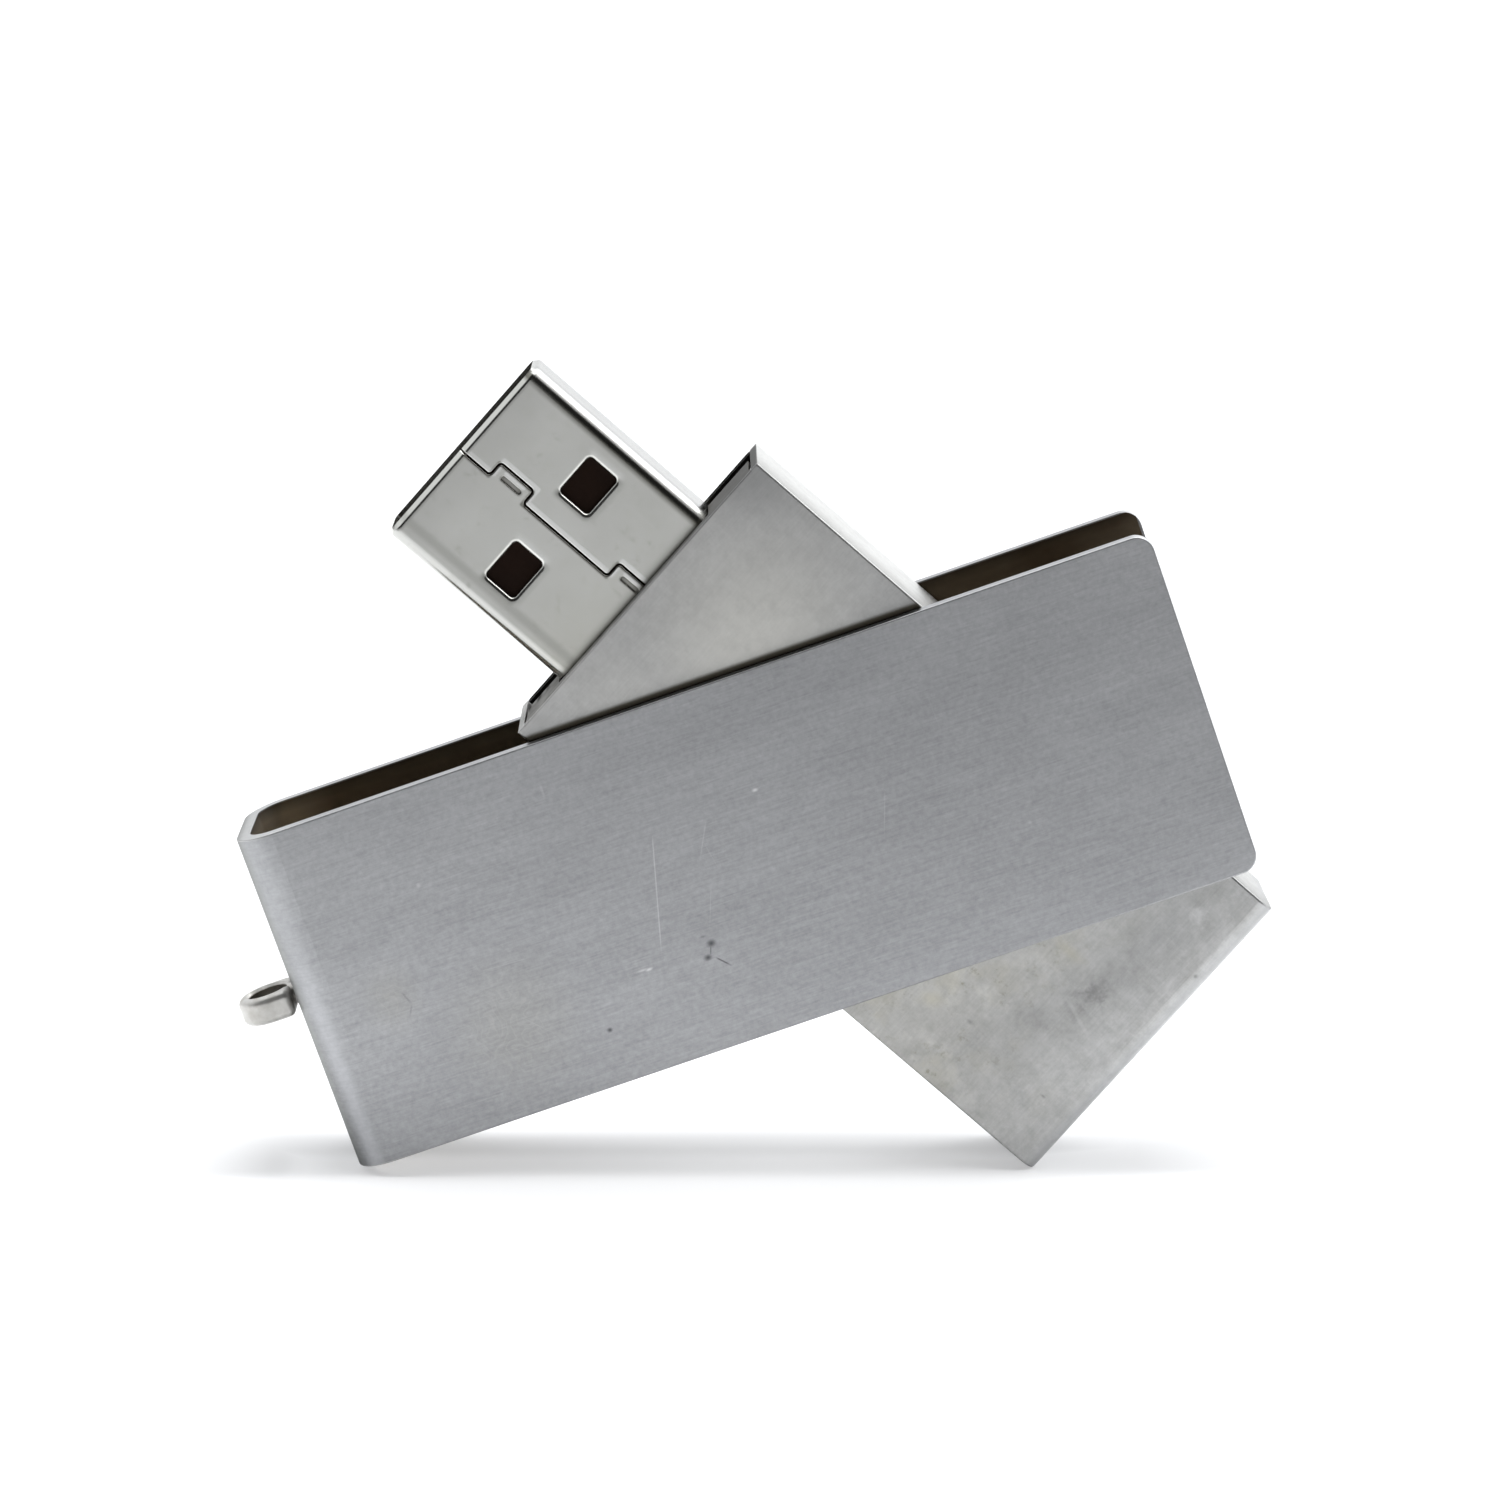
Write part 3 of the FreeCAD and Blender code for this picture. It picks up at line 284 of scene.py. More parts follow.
def mat_clip():
    t = Tree("clip_brushed_steel")
    p = clip_mm(t)
    x, y, z = t.xyz(p)
    # distance along the band's outside, so that the grain runs round the bends
    u = t.math("SUBTRACT", x, t.math("MULTIPLY", y, t.remap(x, -33.4, -31.5, 1.0, 0.0)))
    # the brush strokes wander a little
    wob = t.math("MULTIPLY", t.math("SUBTRACT", t.noise(t.vec(t.math("MULTIPLY", u, 0.25), y, t.math("MULTIPLY", z, 0.25)), 1.0, 1.0, 0.5, seed=8.0), 0.5), 0.06)
    zw = t.math("ADD", z, wob)
    fine, mid, broad = brushed(t, u, zw, y, 1.3)
    step = t.math("FLOOR", t.math("MULTIPLY", zw, 13.0))
    streak = t.noise(t.vec(t.math("MULTIPLY", u, 0.8), y, t.math("MULTIPLY", step, 3.7)), 1.0, 2.0, 0.6, seed=3.3)
    grain = t.math("ADD", t.math("MULTIPLY", fine, 0.35), t.math("ADD", t.math("MULTIPLY", mid, 0.3), t.math("MULTIPLY", streak, 0.35)))
    cloud = t.noise(t.vec(t.math("MULTIPLY", u, 0.16), y, t.math("MULTIPLY", z, 0.3)), 1.0, 3.0, 0.6, seed=12.5)
    iso = t.noise(t.vec(x, y, z), 3.2, 3.0, 0.75, seed=44.0)
    lum = t.remap(grain, 0.36, 0.64, 0.905, 1.09)
    lum = t.math("MULTIPLY", lum, t.remap(iso, 0.32, 0.68, 0.915, 1.085))
    lum = t.math("MULTIPLY", lum, t.remap(broad, 0.3, 0.7, 0.965, 1.035))
    lum = t.math("MULTIPLY", lum, t.remap(cloud, 0.35, 0.65, 0.975, 1.025))
    # painted light: the band is lighter towards its upper edge and towards the open end
    lum = t.math("MULTIPLY", lum, t.math("ADD", t.remap(z, -9.7, 9.7, 0.935, 1.055), t.remap(x, 4.0, 16.0, 0.0, 0.075)))
    base = t.mix(t.remap(lum, 0.75, 1.25, 0.0, 1.0), CLIP_DARK, CLIP_LIGHT)
    front = t.remap(y, 0.02, 0.2, 1.0, 0.0)
    # handling stains: dull greenish film, with ridges like a finger leaves
    rid = t.noise(t.vec(x, 0.0, z), 0.45, 2.0, 0.5, seed=21.0)
    ridge = t.math("ABSOLUTE", t.math("SUBTRACT", t.math("FRACT", t.math("MULTIPLY", rid, 13.0)), 0.5))
    ridge = t.remap(ridge, 0.05, 0.16, 1.0, 0.0)
    film = add_up(t, [blob(t, x, z, -22.6, -4.6, 5.0, 5.6, turn=-0.4), blob(t, x, z, -28.4, -1.0, 2.2, 2.6)])
    film = t.math("MULTIPLY", film, front)
    base = t.mix(t.math("MULTIPLY", film, 0.16), base, (0.50, 0.485, 0.42))
    base = t.mix(t.math("MULTIPLY", t.math("MULTIPLY", film, ridge), 0.13), base, (0.62, 0.61, 0.57))
    # hairline scratches
    S = []
    for a in ((-12.0, 2.9, -13.75, -3.6, 0.045, 1.0), (-9.0, 2.7, -10.1, 0.6, 0.04, 0.55), (-9.9, -0.7, -10.9, -3.3, 0.035, 0.4),
              (0.6, 1.1, -0.3, -1.5, 0.035, 0.5), (4.4, 5.5, 4.5, 2.6, 0.03, 0.22), (-16.75, 7.5, -16.8, 6.5, 0.09, 0.45),
              (-9.6, 1.9, -9.2, -0.4, 0.03, 0.25), (-23.5, -1.2, -19.8, -1.4, 0.04, 0.3), (-22.2, -4.2, -20.4, -6.1, 0.04, 0.25)):
        S.append(t.math("MULTIPLY", segment(t, x, z, *a[:5]), a[5]))
    scratch = add_up(t, S)
    light = add_up(t, [blob(t, x, z, -5.98, 3.37, 0.26, 0.16), blob(t, x, z, -14.65, -4.12, 0.3, 0.13, turn=0.1),
                       t.math("MULTIPLY", blob(t, x, z, -15.0, -4.05, 0.5, 0.1), 0.6), t.math("MULTIPLY", blob(t, x, z, 7.4, -3.2, 0.2, 0.16), 0.3),
                       t.math("MULTIPLY", blob(t, x, z, -24.8, 4.4, 0.2, 0.2), 0.4)])
    dark = add_up(t, [blob(t, x, z, -11.0, -3.85, 0.38, 0.32), blob(t, x, z, -11.42, -4.55, 0.34, 0.26), blob(t, x, z, -17.78, -6.61, 0.22, 0.2),
                      t.math("MULTIPLY", blob(t, x, z, -11.3, -3.35, 0.3, 0.12), 0.4),
                      t.math("MULTIPLY", segment(t, x, z, -11.05, -4.65, -10.3, -5.45, 0.06), 0.8),
                      t.math("MULTIPLY", segment(t, x, z, -11.0, -3.8, -11.3, -4.6, 0.05), 0.6),
                      t.math("MULTIPLY", segment(t, x, z, -27.7, -0.9, -27.4, -1.7, 0.07), 0.25),
                      t.math("MULTIPLY", segment(t, x, z, -27.4, -1.7, -27.8, -2.4, 0.07), 0.25)])
    base = t.mix(t.math("MULTIPLY", t.math("MULTIPLY", scratch, front), 0.24), base, (0.95, 0.95, 0.96))
    base = t.mix(t.math("MULTIPLY", t.math("MULTIPLY", light, front), 0.5), base, (0.97, 0.97, 0.97))
    base = t.mix(t.math("MULTIPLY", t.math("MULTIPLY", dark, front), 0.8), base, (0.05, 0.05, 0.055))
    # painted shade round the closed end's outer corner, most of all at its top, and a painted bluish highlight along
    # the bend
    end_shade = t.remap(x, -33.3, -32.8, 1.0, 0.0, smooth=True)
    base = t.mix(t.math("MULTIPLY", end_shade, t.remap(z, -6.0, 8.0, 0.50, 0.68)), base, (0.27, 0.275, 0.26))
    # painted highlight: a bluish band along the bend, strongest low down
    bend_highlight = t.math("MULTIPLY", t.remap(x, -33.0, -32.45, 0.0, 1.0, smooth=True), t.remap(x, -32.3, -31.6, 1.0, 0.0, smooth=True))
    base = t.mix(t.math("MULTIPLY", bend_highlight, t.remap(z, 7.0, -4.0, 0.0, 0.30)), base, (0.75, 0.76, 0.79))
    # painted shade over the top of the bend, towards the closed end
    base = t.mix(t.math("MULTIPLY", t.remap(x, -31.2, -32.0, 0.0, 1.0, smooth=True), t.remap(z, -1.0, 8.5, 0.0, 0.34)), base, (0.27, 0.275, 0.28))
    # painted highlight on the cut edge round the closed end
    cut = t.math("MULTIPLY", t.remap(t.math("ABSOLUTE", z), 9.6, 9.64, 0.0, 1.0), t.remap(x, -29.0, -31.5, 0.0, 1.0))
    base = t.mix(t.math("MULTIPLY", cut, 0.35), base, (0.85, 0.85, 0.83))
    # inside faces: rougher, painted dark brown as shade, with slightly oily mottling
    # (how far out a point lies in the rounded section of the band: CLIP_R on its outside)
    ca = t.math("MAXIMUM", t.math("SUBTRACT", CLIP_END + CLIP_R, x), 0.0)
    cb = t.math("MAXIMUM", t.math("SUBTRACT", t.math("ABSOLUTE", t.math("SUBTRACT", y, 4.5)), 4.5 - CLIP_R), 0.0)
    rad = t.math("SQRT", t.math("ADD", t.math("MULTIPLY", ca, ca), t.math("MULTIPLY", cb, cb)))
    inside = t.remap(rad, CLIP_R - CLIP_SHEET + 0.02, CLIP_R - CLIP_SHEET + 0.1, 1.0, 0.0)
    inside = t.math("MULTIPLY", inside, t.remap(t.math("ABSOLUTE", z), 9.6, 9.66, 1.0, 0.0))
    inside = t.math("MULTIPLY", inside, t.remap(x, 18.2, 18.26, 1.0, 0.0))
    oily = t.noise(t.vec(t.math("MULTIPLY", x, 0.30), y, t.math("MULTIPLY", z, 0.7)), 0.8, 3.0, 0.55, seed=17.0)
    inside_shade_and_oil = t.mix(t.remap(oily, 0.35, 0.7, 0.0, 1.0), (0.13, 0.098, 0.066), (0.195, 0.160, 0.113))
    inside_shade_and_oil = t.mix(t.remap(x, -6.0, -20.0, 0.0, 0.30), inside_shade_and_oil, (0.42, 0.36, 0.28))
    inside_shade_and_oil = t.mix(t.remap(x, -28.5, -32.6, 0.0, 0.8), inside_shade_and_oil, (0.78, 0.70, 0.58))
    # hollow light along the inner bend, brown shadow under the upper edge
    inside_shade_and_oil = t.mix(t.math("MULTIPLY", t.math("SUBTRACT", t.math("ABSOLUTE", z), 9.0, clamp=True), 0.9), inside_shade_and_oil, (0.03, 0.024, 0.016))
    base = t.mix(inside, base, inside_shade_and_oil)
    rough = t.math("ADD", t.remap(grain, 0.3, 0.7, 0.40, 0.30), t.math("MULTIPLY", inside, 0.08))
    rough = t.math("ADD", rough, t.math("MULTIPLY", film, 0.05))
    # painted shade: the reflection on the closed end's outer face is toned down by a grey specular tint
    tint = t.mix(t.remap(x, -33.1, -33.42, 0.0, 1.0), (1.0, 1.0, 1.0), (0.60, 0.60, 0.60))
    t.set(Base_Color=base, Metallic=1.0, Roughness=rough, Anisotropic=0.7, Specular_Tint=tint,
          Tangent=t.along_sheet((-math.sin(CLIP_ANGLE), 0.0, math.cos(CLIP_ANGLE))),
          Normal=t.bump(t.math("SUBTRACT", grain, t.math("MULTIPLY", scratch, 0.3)), 0.05, 0.00006))
    return t.mat


def mat_body():
    t = Tree("body_brushed_steel")
    p = drive_mm(t)
    x, y, z = t.xyz(p)
    fine, mid, broad = brushed(t, z, x, y, 5.9)
    fine2, mid2, _ = brushed(t, x, z, y, 15.9)
    grain = t.math("ADD", t.math("MULTIPLY", fine, 0.5), t.math("ADD", t.math("MULTIPLY", mid, 0.25), t.math("MULTIPLY", fine2, 0.25)))
    iso = t.noise(t.vec(x, y, z), 1.6, 4.0, 0.75, seed=45.0)
    lum = t.math("MULTIPLY", t.remap(grain, 0.36, 0.64, 0.935, 1.06), t.remap(iso, 0.32, 0.68, 0.90, 1.09))
    lum = t.math("MULTIPLY", lum, t.remap(broad, 0.3, 0.7, 0.96, 1.04))
    base = t.mix(t.remap(lum, 0.75, 1.25, 0.0, 1.0), BODY_DARK, BODY_LIGHT)
    front = t.remap(y, 0.97, 1.1, 1.0, 0.0)
    rear_side = t.remap(x, 1.0, 7.0, 0.0, 1.0)
    # painted light: the plug end is lighter, with a painted warm highlight in its middle; darker towards its corners
    plug_side = t.remap(x, -2.0, -8.0, 0.0, 1.0)
    base = t.mix(t.math("MULTIPLY", plug_side, 0.20), base, (0.86, 0.855, 0.83))
    glow = add_up(t, [blob(t, x, z, -11.2, 2.2, 7.5, 9.0, turn=0.3), t.math("MULTIPLY", blob(t, x, z, -13.0, -5.0, 6.0, 5.0), 0.45)])
    base = t.mix(t.math("MULTIPLY", t.math("MULTIPLY", glow, front), 0.52), base, (0.88, 0.865, 0.80))
    haze = t.noise(t.vec(x, y, z), 0.5, 4.0, 0.65, seed=71.0)
    base = t.mix(t.math("MULTIPLY", t.remap(haze, 0.5, 0.66, 0.0, 0.16), plug_side), base, (0.30, 0.30, 0.285))
    # yellowish film and stains on the part that the clip hides when closed
    st = t.noise(t.vec(x, y, z), 0.33, 4.0, 0.6, seed=2.2)
    film = t.math("MULTIPLY", t.remap(t.math("ADD", x, t.math("MULTIPLY", z, 0.25)), 17.0, 9.0, 0.0, 1.0), rear_side)
    base = t.mix(t.math("MULTIPLY", film, 0.22), base, (0.62, 0.60, 0.54))
    stain = t.math("MULTIPLY", t.remap(st, 0.50, 0.62, 0.0, 1.0), film)
    base = t.mix(t.math("MULTIPLY", stain, 0.30), base, (0.52, 0.49, 0.38))
    pit = t.noise(t.vec(x, y, z), 1.7, 4.0, 0.7, seed=31.0)
    pits = t.math("MULTIPLY", t.remap(pit, 0.565, 0.66, 0.0, 1.0), t.math("MULTIPLY", film, t.remap(st, 0.42, 0.55, 0.3, 1.0)))
    base = t.mix(t.math("MULTIPLY", pits, 0.60), base, (0.26, 0.24, 0.18))
    mott = t.noise(t.vec(x, y, z), 0.75, 4.0, 0.7, seed=77.0)
    base = t.mix(t.math("MULTIPLY", t.remap(mott, 0.45, 0.64, 0.0, 0.22), rear_side), base, (0.24, 0.235, 0.21))
    pale = t.math("MULTIPLY", t.remap(t.noise(t.vec(x, y, z), 0.8, 4.0, 0.65, seed=63.0), 0.53, 0.66, 0.0, 1.0), film)
    base = t.mix(t.math("MULTIPLY", pale, 0.28), base, (0.74, 0.73, 0.67))
    ochre = add_up(t, [blob(t, x, z, 9.2, -6.1, 1.1, 0.7, turn=0.5), t.math("MULTIPLY", blob(t, x, z, 13.1, 0.8, 1.5, 0.5), 0.8),
                       t.math("MULTIPLY", blob(t, x, z, 6.4, -8.2, 0.8, 0.6), 0.7)])
    base = t.mix(t.math("MULTIPLY", ochre, 0.24), base, (0.50, 0.45, 0.28))
    # smudges
    dust = t.noise(t.vec(x, y, z), 3.2, 3.0, 0.7, seed=40.0)
    jx = t.math("ADD", x, t.math("MULTIPLY", t.math("SUBTRACT", t.noise(t.vec(x, y, z), 1.5, 3.0, 0.7, seed=81.0), 0.5), 1.5))
    jz = t.math("ADD", z, t.math("MULTIPLY", t.math("SUBTRACT", t.noise(t.vec(x, y, z), 1.5, 3.0, 0.7, seed=83.0), 0.5), 1.5))
    star = add_up(t, [blob(t, jx, jz, 15.6, -0.1, 1.0, 1.9, turn=0.1), blob(t, jx, jz, 15.5, -0.2, 2.1, 0.55, turn=0.75), blob(t, jx, jz, 15.7, 0.0, 1.6, 0.4, turn=-0.5),
                      t.math("MULTIPLY", blob(t, jx, jz, 15.3, -1.6, 1.1, 0.9), 0.4)])
    soft = add_up(t, [t.math("MULTIPLY", blob(t, jx, jz, 13.5, -3.4, 2.2, 1.2, turn=0.35), 0.6), t.math("MULTIPLY", blob(t, jx, jz, 12.3, -6.2, 1.8, 1.4), 0.6),
                      t.math("MULTIPLY", blob(t, jx, jz, 16.3, -7.1, 1.7, 0.9, turn=-0.3), 0.7), t.math("MULTIPLY", blob(t, jx, jz, 16.0, 3.6, 0.9, 3.8), 0.5),
                      t.math("MULTIPLY", blob(t, jx, jz, 16.5, -2.6, 1.3, 2.6), 0.4)])
    smudge = t.math("ADD", t.math("MULTIPLY", star, t.remap(dust, 0.3, 0.6, 0.45, 1.0)), t.math("MULTIPLY", soft, t.remap(dust, 0.3, 0.65, 0.2, 0.65)), clamp=True)
    # a broad darker band across the rear end
    dist = t.math("ABSOLUTE", t.math("SUBTRACT", t.math("SUBTRACT", jx, 15.2), t.math("MULTIPLY", z, 0.22)))
    band = t.math("MULTIPLY", t.remap(dist, 0.2, 3.4, 1.0, 0.0, smooth=True), t.remap(z, 4.0, 8.5, 1.0, 0.25))
    band = t.math("MULTIPLY", t.math("MULTIPLY", band, t.remap(z, -8.8, -5.0, 0.3, 1.0)), front)
    base = t.mix(t.math("MULTIPLY", band, 0.27), base, (0.22, 0.222, 0.224))
    base = t.mix(t.math("MULTIPLY", t.math("MULTIPLY", smudge, front), 0.50), base, (0.11, 0.11, 0.112))
    specks = add_up(t, [blob(t, x, z, 19.16, 4.27, 0.22, 0.2), t.math("MULTIPLY", blob(t, x, z, 5.6, -9.3, 0.5, 0.16), 0.7),
                        t.math("MULTIPLY", blob(t, x, z, 11.6, -5.7, 0.28, 0.2), 0.6), t.math("MULTIPLY", blob(t, x, z, 17.4, -6.2, 0.25, 0.12), 0.6)])
    base = t.mix(t.math("MULTIPLY", t.math("MULTIPLY", specks, front), 0.6), base, (0.08, 0.08, 0.075))
    bright = add_up(t, [t.math("MULTIPLY", blob(t, jx, jz, 17.0, 6.9, 0.6, 0.8), 0.55), t.math("MULTIPLY", segment(t, x, z, 14.6, -1.2, 17.6, -2.3, 0.14), 0.13),
                        t.math("MULTIPLY", segment(t, x, z, 15.2, -0.9, 18.4, -1.4, 0.12), 0.09)])
    base = t.mix(t.math("MULTIPLY", t.math("MULTIPLY", bright, front), 0.5), base, (0.95, 0.95, 0.95))
    # darker at the outer corner beside the plug
    corner = blob(t, x, z, -17.6, 9.4, 4.6, 4.2, turn=0.5)
    base = t.mix(t.math("MULTIPLY", t.math("MULTIPLY", corner, front), 0.45), base, (0.22, 0.222, 0.225))
    # painted shade where the sheet turns down at the rear end
    rear = t.remap(x, 18.9, 19.6, 0.0, 1.0, smooth=True)
    base = t.mix(t.math("MULTIPLY", rear, 0.5), base, (0.36, 0.362, 0.37))
    # end flange beside the plug: darker, with two dings
    end = t.math("MULTIPLY", t.remap(x, -17.37, -17.29, 1.0, 0.0), t.remap(y, 5.0, 5.1, 1.0, 0.0))
    end = t.math("MULTIPLY", end, t.remap(t.math("ABSOLUTE", z), 9.2, 9.28, 1.0, 0.0))
    tarn = t.noise(t.vec(x, y, z), 1.1, 3.0, 0.6, seed=91.0)
    base = t.mix(end, base, t.mix(t.remap(tarn, 0.4, 0.65, 0.0, 1.0), (0.26, 0.257, 0.25), (0.37, 0.365, 0.355)))
    # painted shade: the flange darkens towards its top
    base = t.mix(t.math("MULTIPLY", end, t.remap(z, -5.5, 7.5, 0.0, 0.85)), base, (0.12, 0.12, 0.118))
    dings = add_up(t, [blob(t, y, z, 4.6, -8.1, 1.5, 0.34), blob(t, y, z, 4.6, -8.9, 1.3, 0.28), t.math("MULTIPLY", blob(t, y, z, 4.7, -7.4, 1.2, 0.3), 0.7)])
    base = t.mix(t.math("MULTIPLY", t.math("MULTIPLY", dings, end), 0.8), base, (0.015, 0.013, 0.010))
    # painted shade on the end edge of the upper side wall, painted light on that of the lower one
    wall = t.math("MULTIPLY", t.remap(x, -17.36, -17.39, 0.0, 1.0), t.math("MULTIPLY", t.remap(z, 9.2, 9.26, 0.0, 1.0), t.remap(y, 7.6, 7.9, 1.0, 0.0)))
    base = t.mix(wall, base, (0.15, 0.15, 0.148))
    wall_low = t.math("MULTIPLY", t.remap(x, -17.36, -17.39, 0.0, 1.0), t.remap(z, -9.2, -9.26, 0.0, 1.0))
    base = t.mix(wall_low, base, (0.52, 0.52, 0.51))
    # its rounded outline: a painted highlight that fades to painted shade towards the top; the end edge of the cover
    # painted black as shade
    rim = t.math("MULTIPLY", t.remap(x, -17.32, -17.35, 0.0, 1.0), t.remap(y, 1.02, 1.06, 1.0, 0.0))
    rim = t.math("MULTIPLY", rim, t.remap(y, 0.951, 0.956, 0.0, 1.0))
    base = t.mix(t.math("MULTIPLY", rim, 0.9), base, t.mix(t.remap(z, -5.5, 7.5, 0.0, 0.8), (0.62, 0.61, 0.60), (0.22, 0.22, 0.218)))
    lip = t.math("MULTIPLY", t.remap(x, -17.36, -17.39, 0.0, 1.0), t.remap(y, 7.3, 7.4, 0.0, 1.0))
    lip = t.math("MULTIPLY", lip, t.remap(t.math("ABSOLUTE", z), 9.1, 9.2, 1.0, 0.0))
    base = t.mix(lip, base, (0.02, 0.018, 0.015))
    # painted shade with some soiling where a neighbour stands close, and a painted contact shadow in a line along the
    # clip's upper edge
    ao = t.ao(0.0011, samples=10)
    cz = t.xyz(clip_mm(t))[2]
    s_up = t.math("SUBTRACT", cz, 9.7)
    line = t.math("MULTIPLY", t.remap(s_up, 0.18, 0.44, 1.0, 0.0, smooth=True), t.remap(s_up, -1.0, -0.5, 0.0, 1.0))
    line = t.math("MULTIPLY", line, t.math("MULTIPLY", front, t.remap(ao, 0.84, 0.95, 1.0, 0.0)))
    flat = t.remap(y, 7.5, 7.54, 1.0, 0.0)
    near = t.math("MULTIPLY", t.remap(ao, 0.42, 0.80, 1.0, 0.0, smooth=True), t.remap(cz, -9.0, -8.0, 0.0, 1.0))
    near = t.math("MULTIPLY", near, flat)
    base = t.mix(t.math("MULTIPLY", near, 0.55), base, (0.050, 0.042, 0.026))
    base = t.mix(t.math("MULTIPLY", line, 0.84), base, (0.070, 0.058, 0.030))
    # painted shade on the upper side, most near the front, and a painted dark reflection along its front edge (arris)
    up_side = t.remap(z, 9.60, 9.68, 0.0, 1.0)
    shade = t.math("MULTIPLY", up_side, t.remap(y, 1.0, 4.6, 1.0, 0.25))
    # painted shade: the inside faces of the shell are near black
    inside = t.math("MULTIPLY", t.remap(y, 1.40, 1.46, 0.0, 1.0), t.remap(y, 7.57, 7.62, 1.0, 0.0))
    inside = t.math("MULTIPLY", inside, t.remap(t.math("ABSOLUTE", z), 9.22, 9.26, 1.0, 0.0))
    inside = t.math("MULTIPLY", inside, t.remap(x, -17.36, -17.3, 0.0, 1.0))
    inside = t.math("MULTIPLY", inside, t.remap(x, 19.38, 19.42, 1.0, 0.0))
    base = t.mix(inside, base, (0.035, 0.032, 0.028))
    base = t.mix(t.math("MULTIPLY", shade, 0.30), base, (0.30, 0.30, 0.295))
    arris = t.math("MULTIPLY", up_side, t.remap(y, 1.08, 1.16, 1.0, 0.0))
    base = t.mix(t.math("MULTIPLY", arris, 0.6), base, (0.26, 0.26, 0.26))
    plain = t.math("MAXIMUM", t.math("MAXIMUM", t.math("MAXIMUM", end, lip), rim), t.math("MAXIMUM", wall, wall_low))
    rough = t.math("ADD", t.remap(grain, 0.3, 0.7, 0.40, 0.30), t.math("MULTIPLY", film, 0.05))
    # the upper side's reflection toned down by a grey specular tint: painted shade
    tint = t.mix(shade, (1.0, 1.0, 1.0), (0.62, 0.62, 0.61))
    t.set(Base_Color=base, Metallic=t.math("SUBTRACT", 1.0, plain, clamp=True), Roughness=rough, Anisotropic=0.5,
          Specular_Tint=tint, Specular_IOR_Level=t.math("MULTIPLY", t.math("SUBTRACT", 1.0, plain, clamp=True), 0.5),
          Tangent=t.along_sheet((math.cos(DRIVE_ANGLE), 0.0, -math.sin(DRIVE_ANGLE))),
          Normal=t.bump(grain, 0.05, 0.00006))
    return t.mat


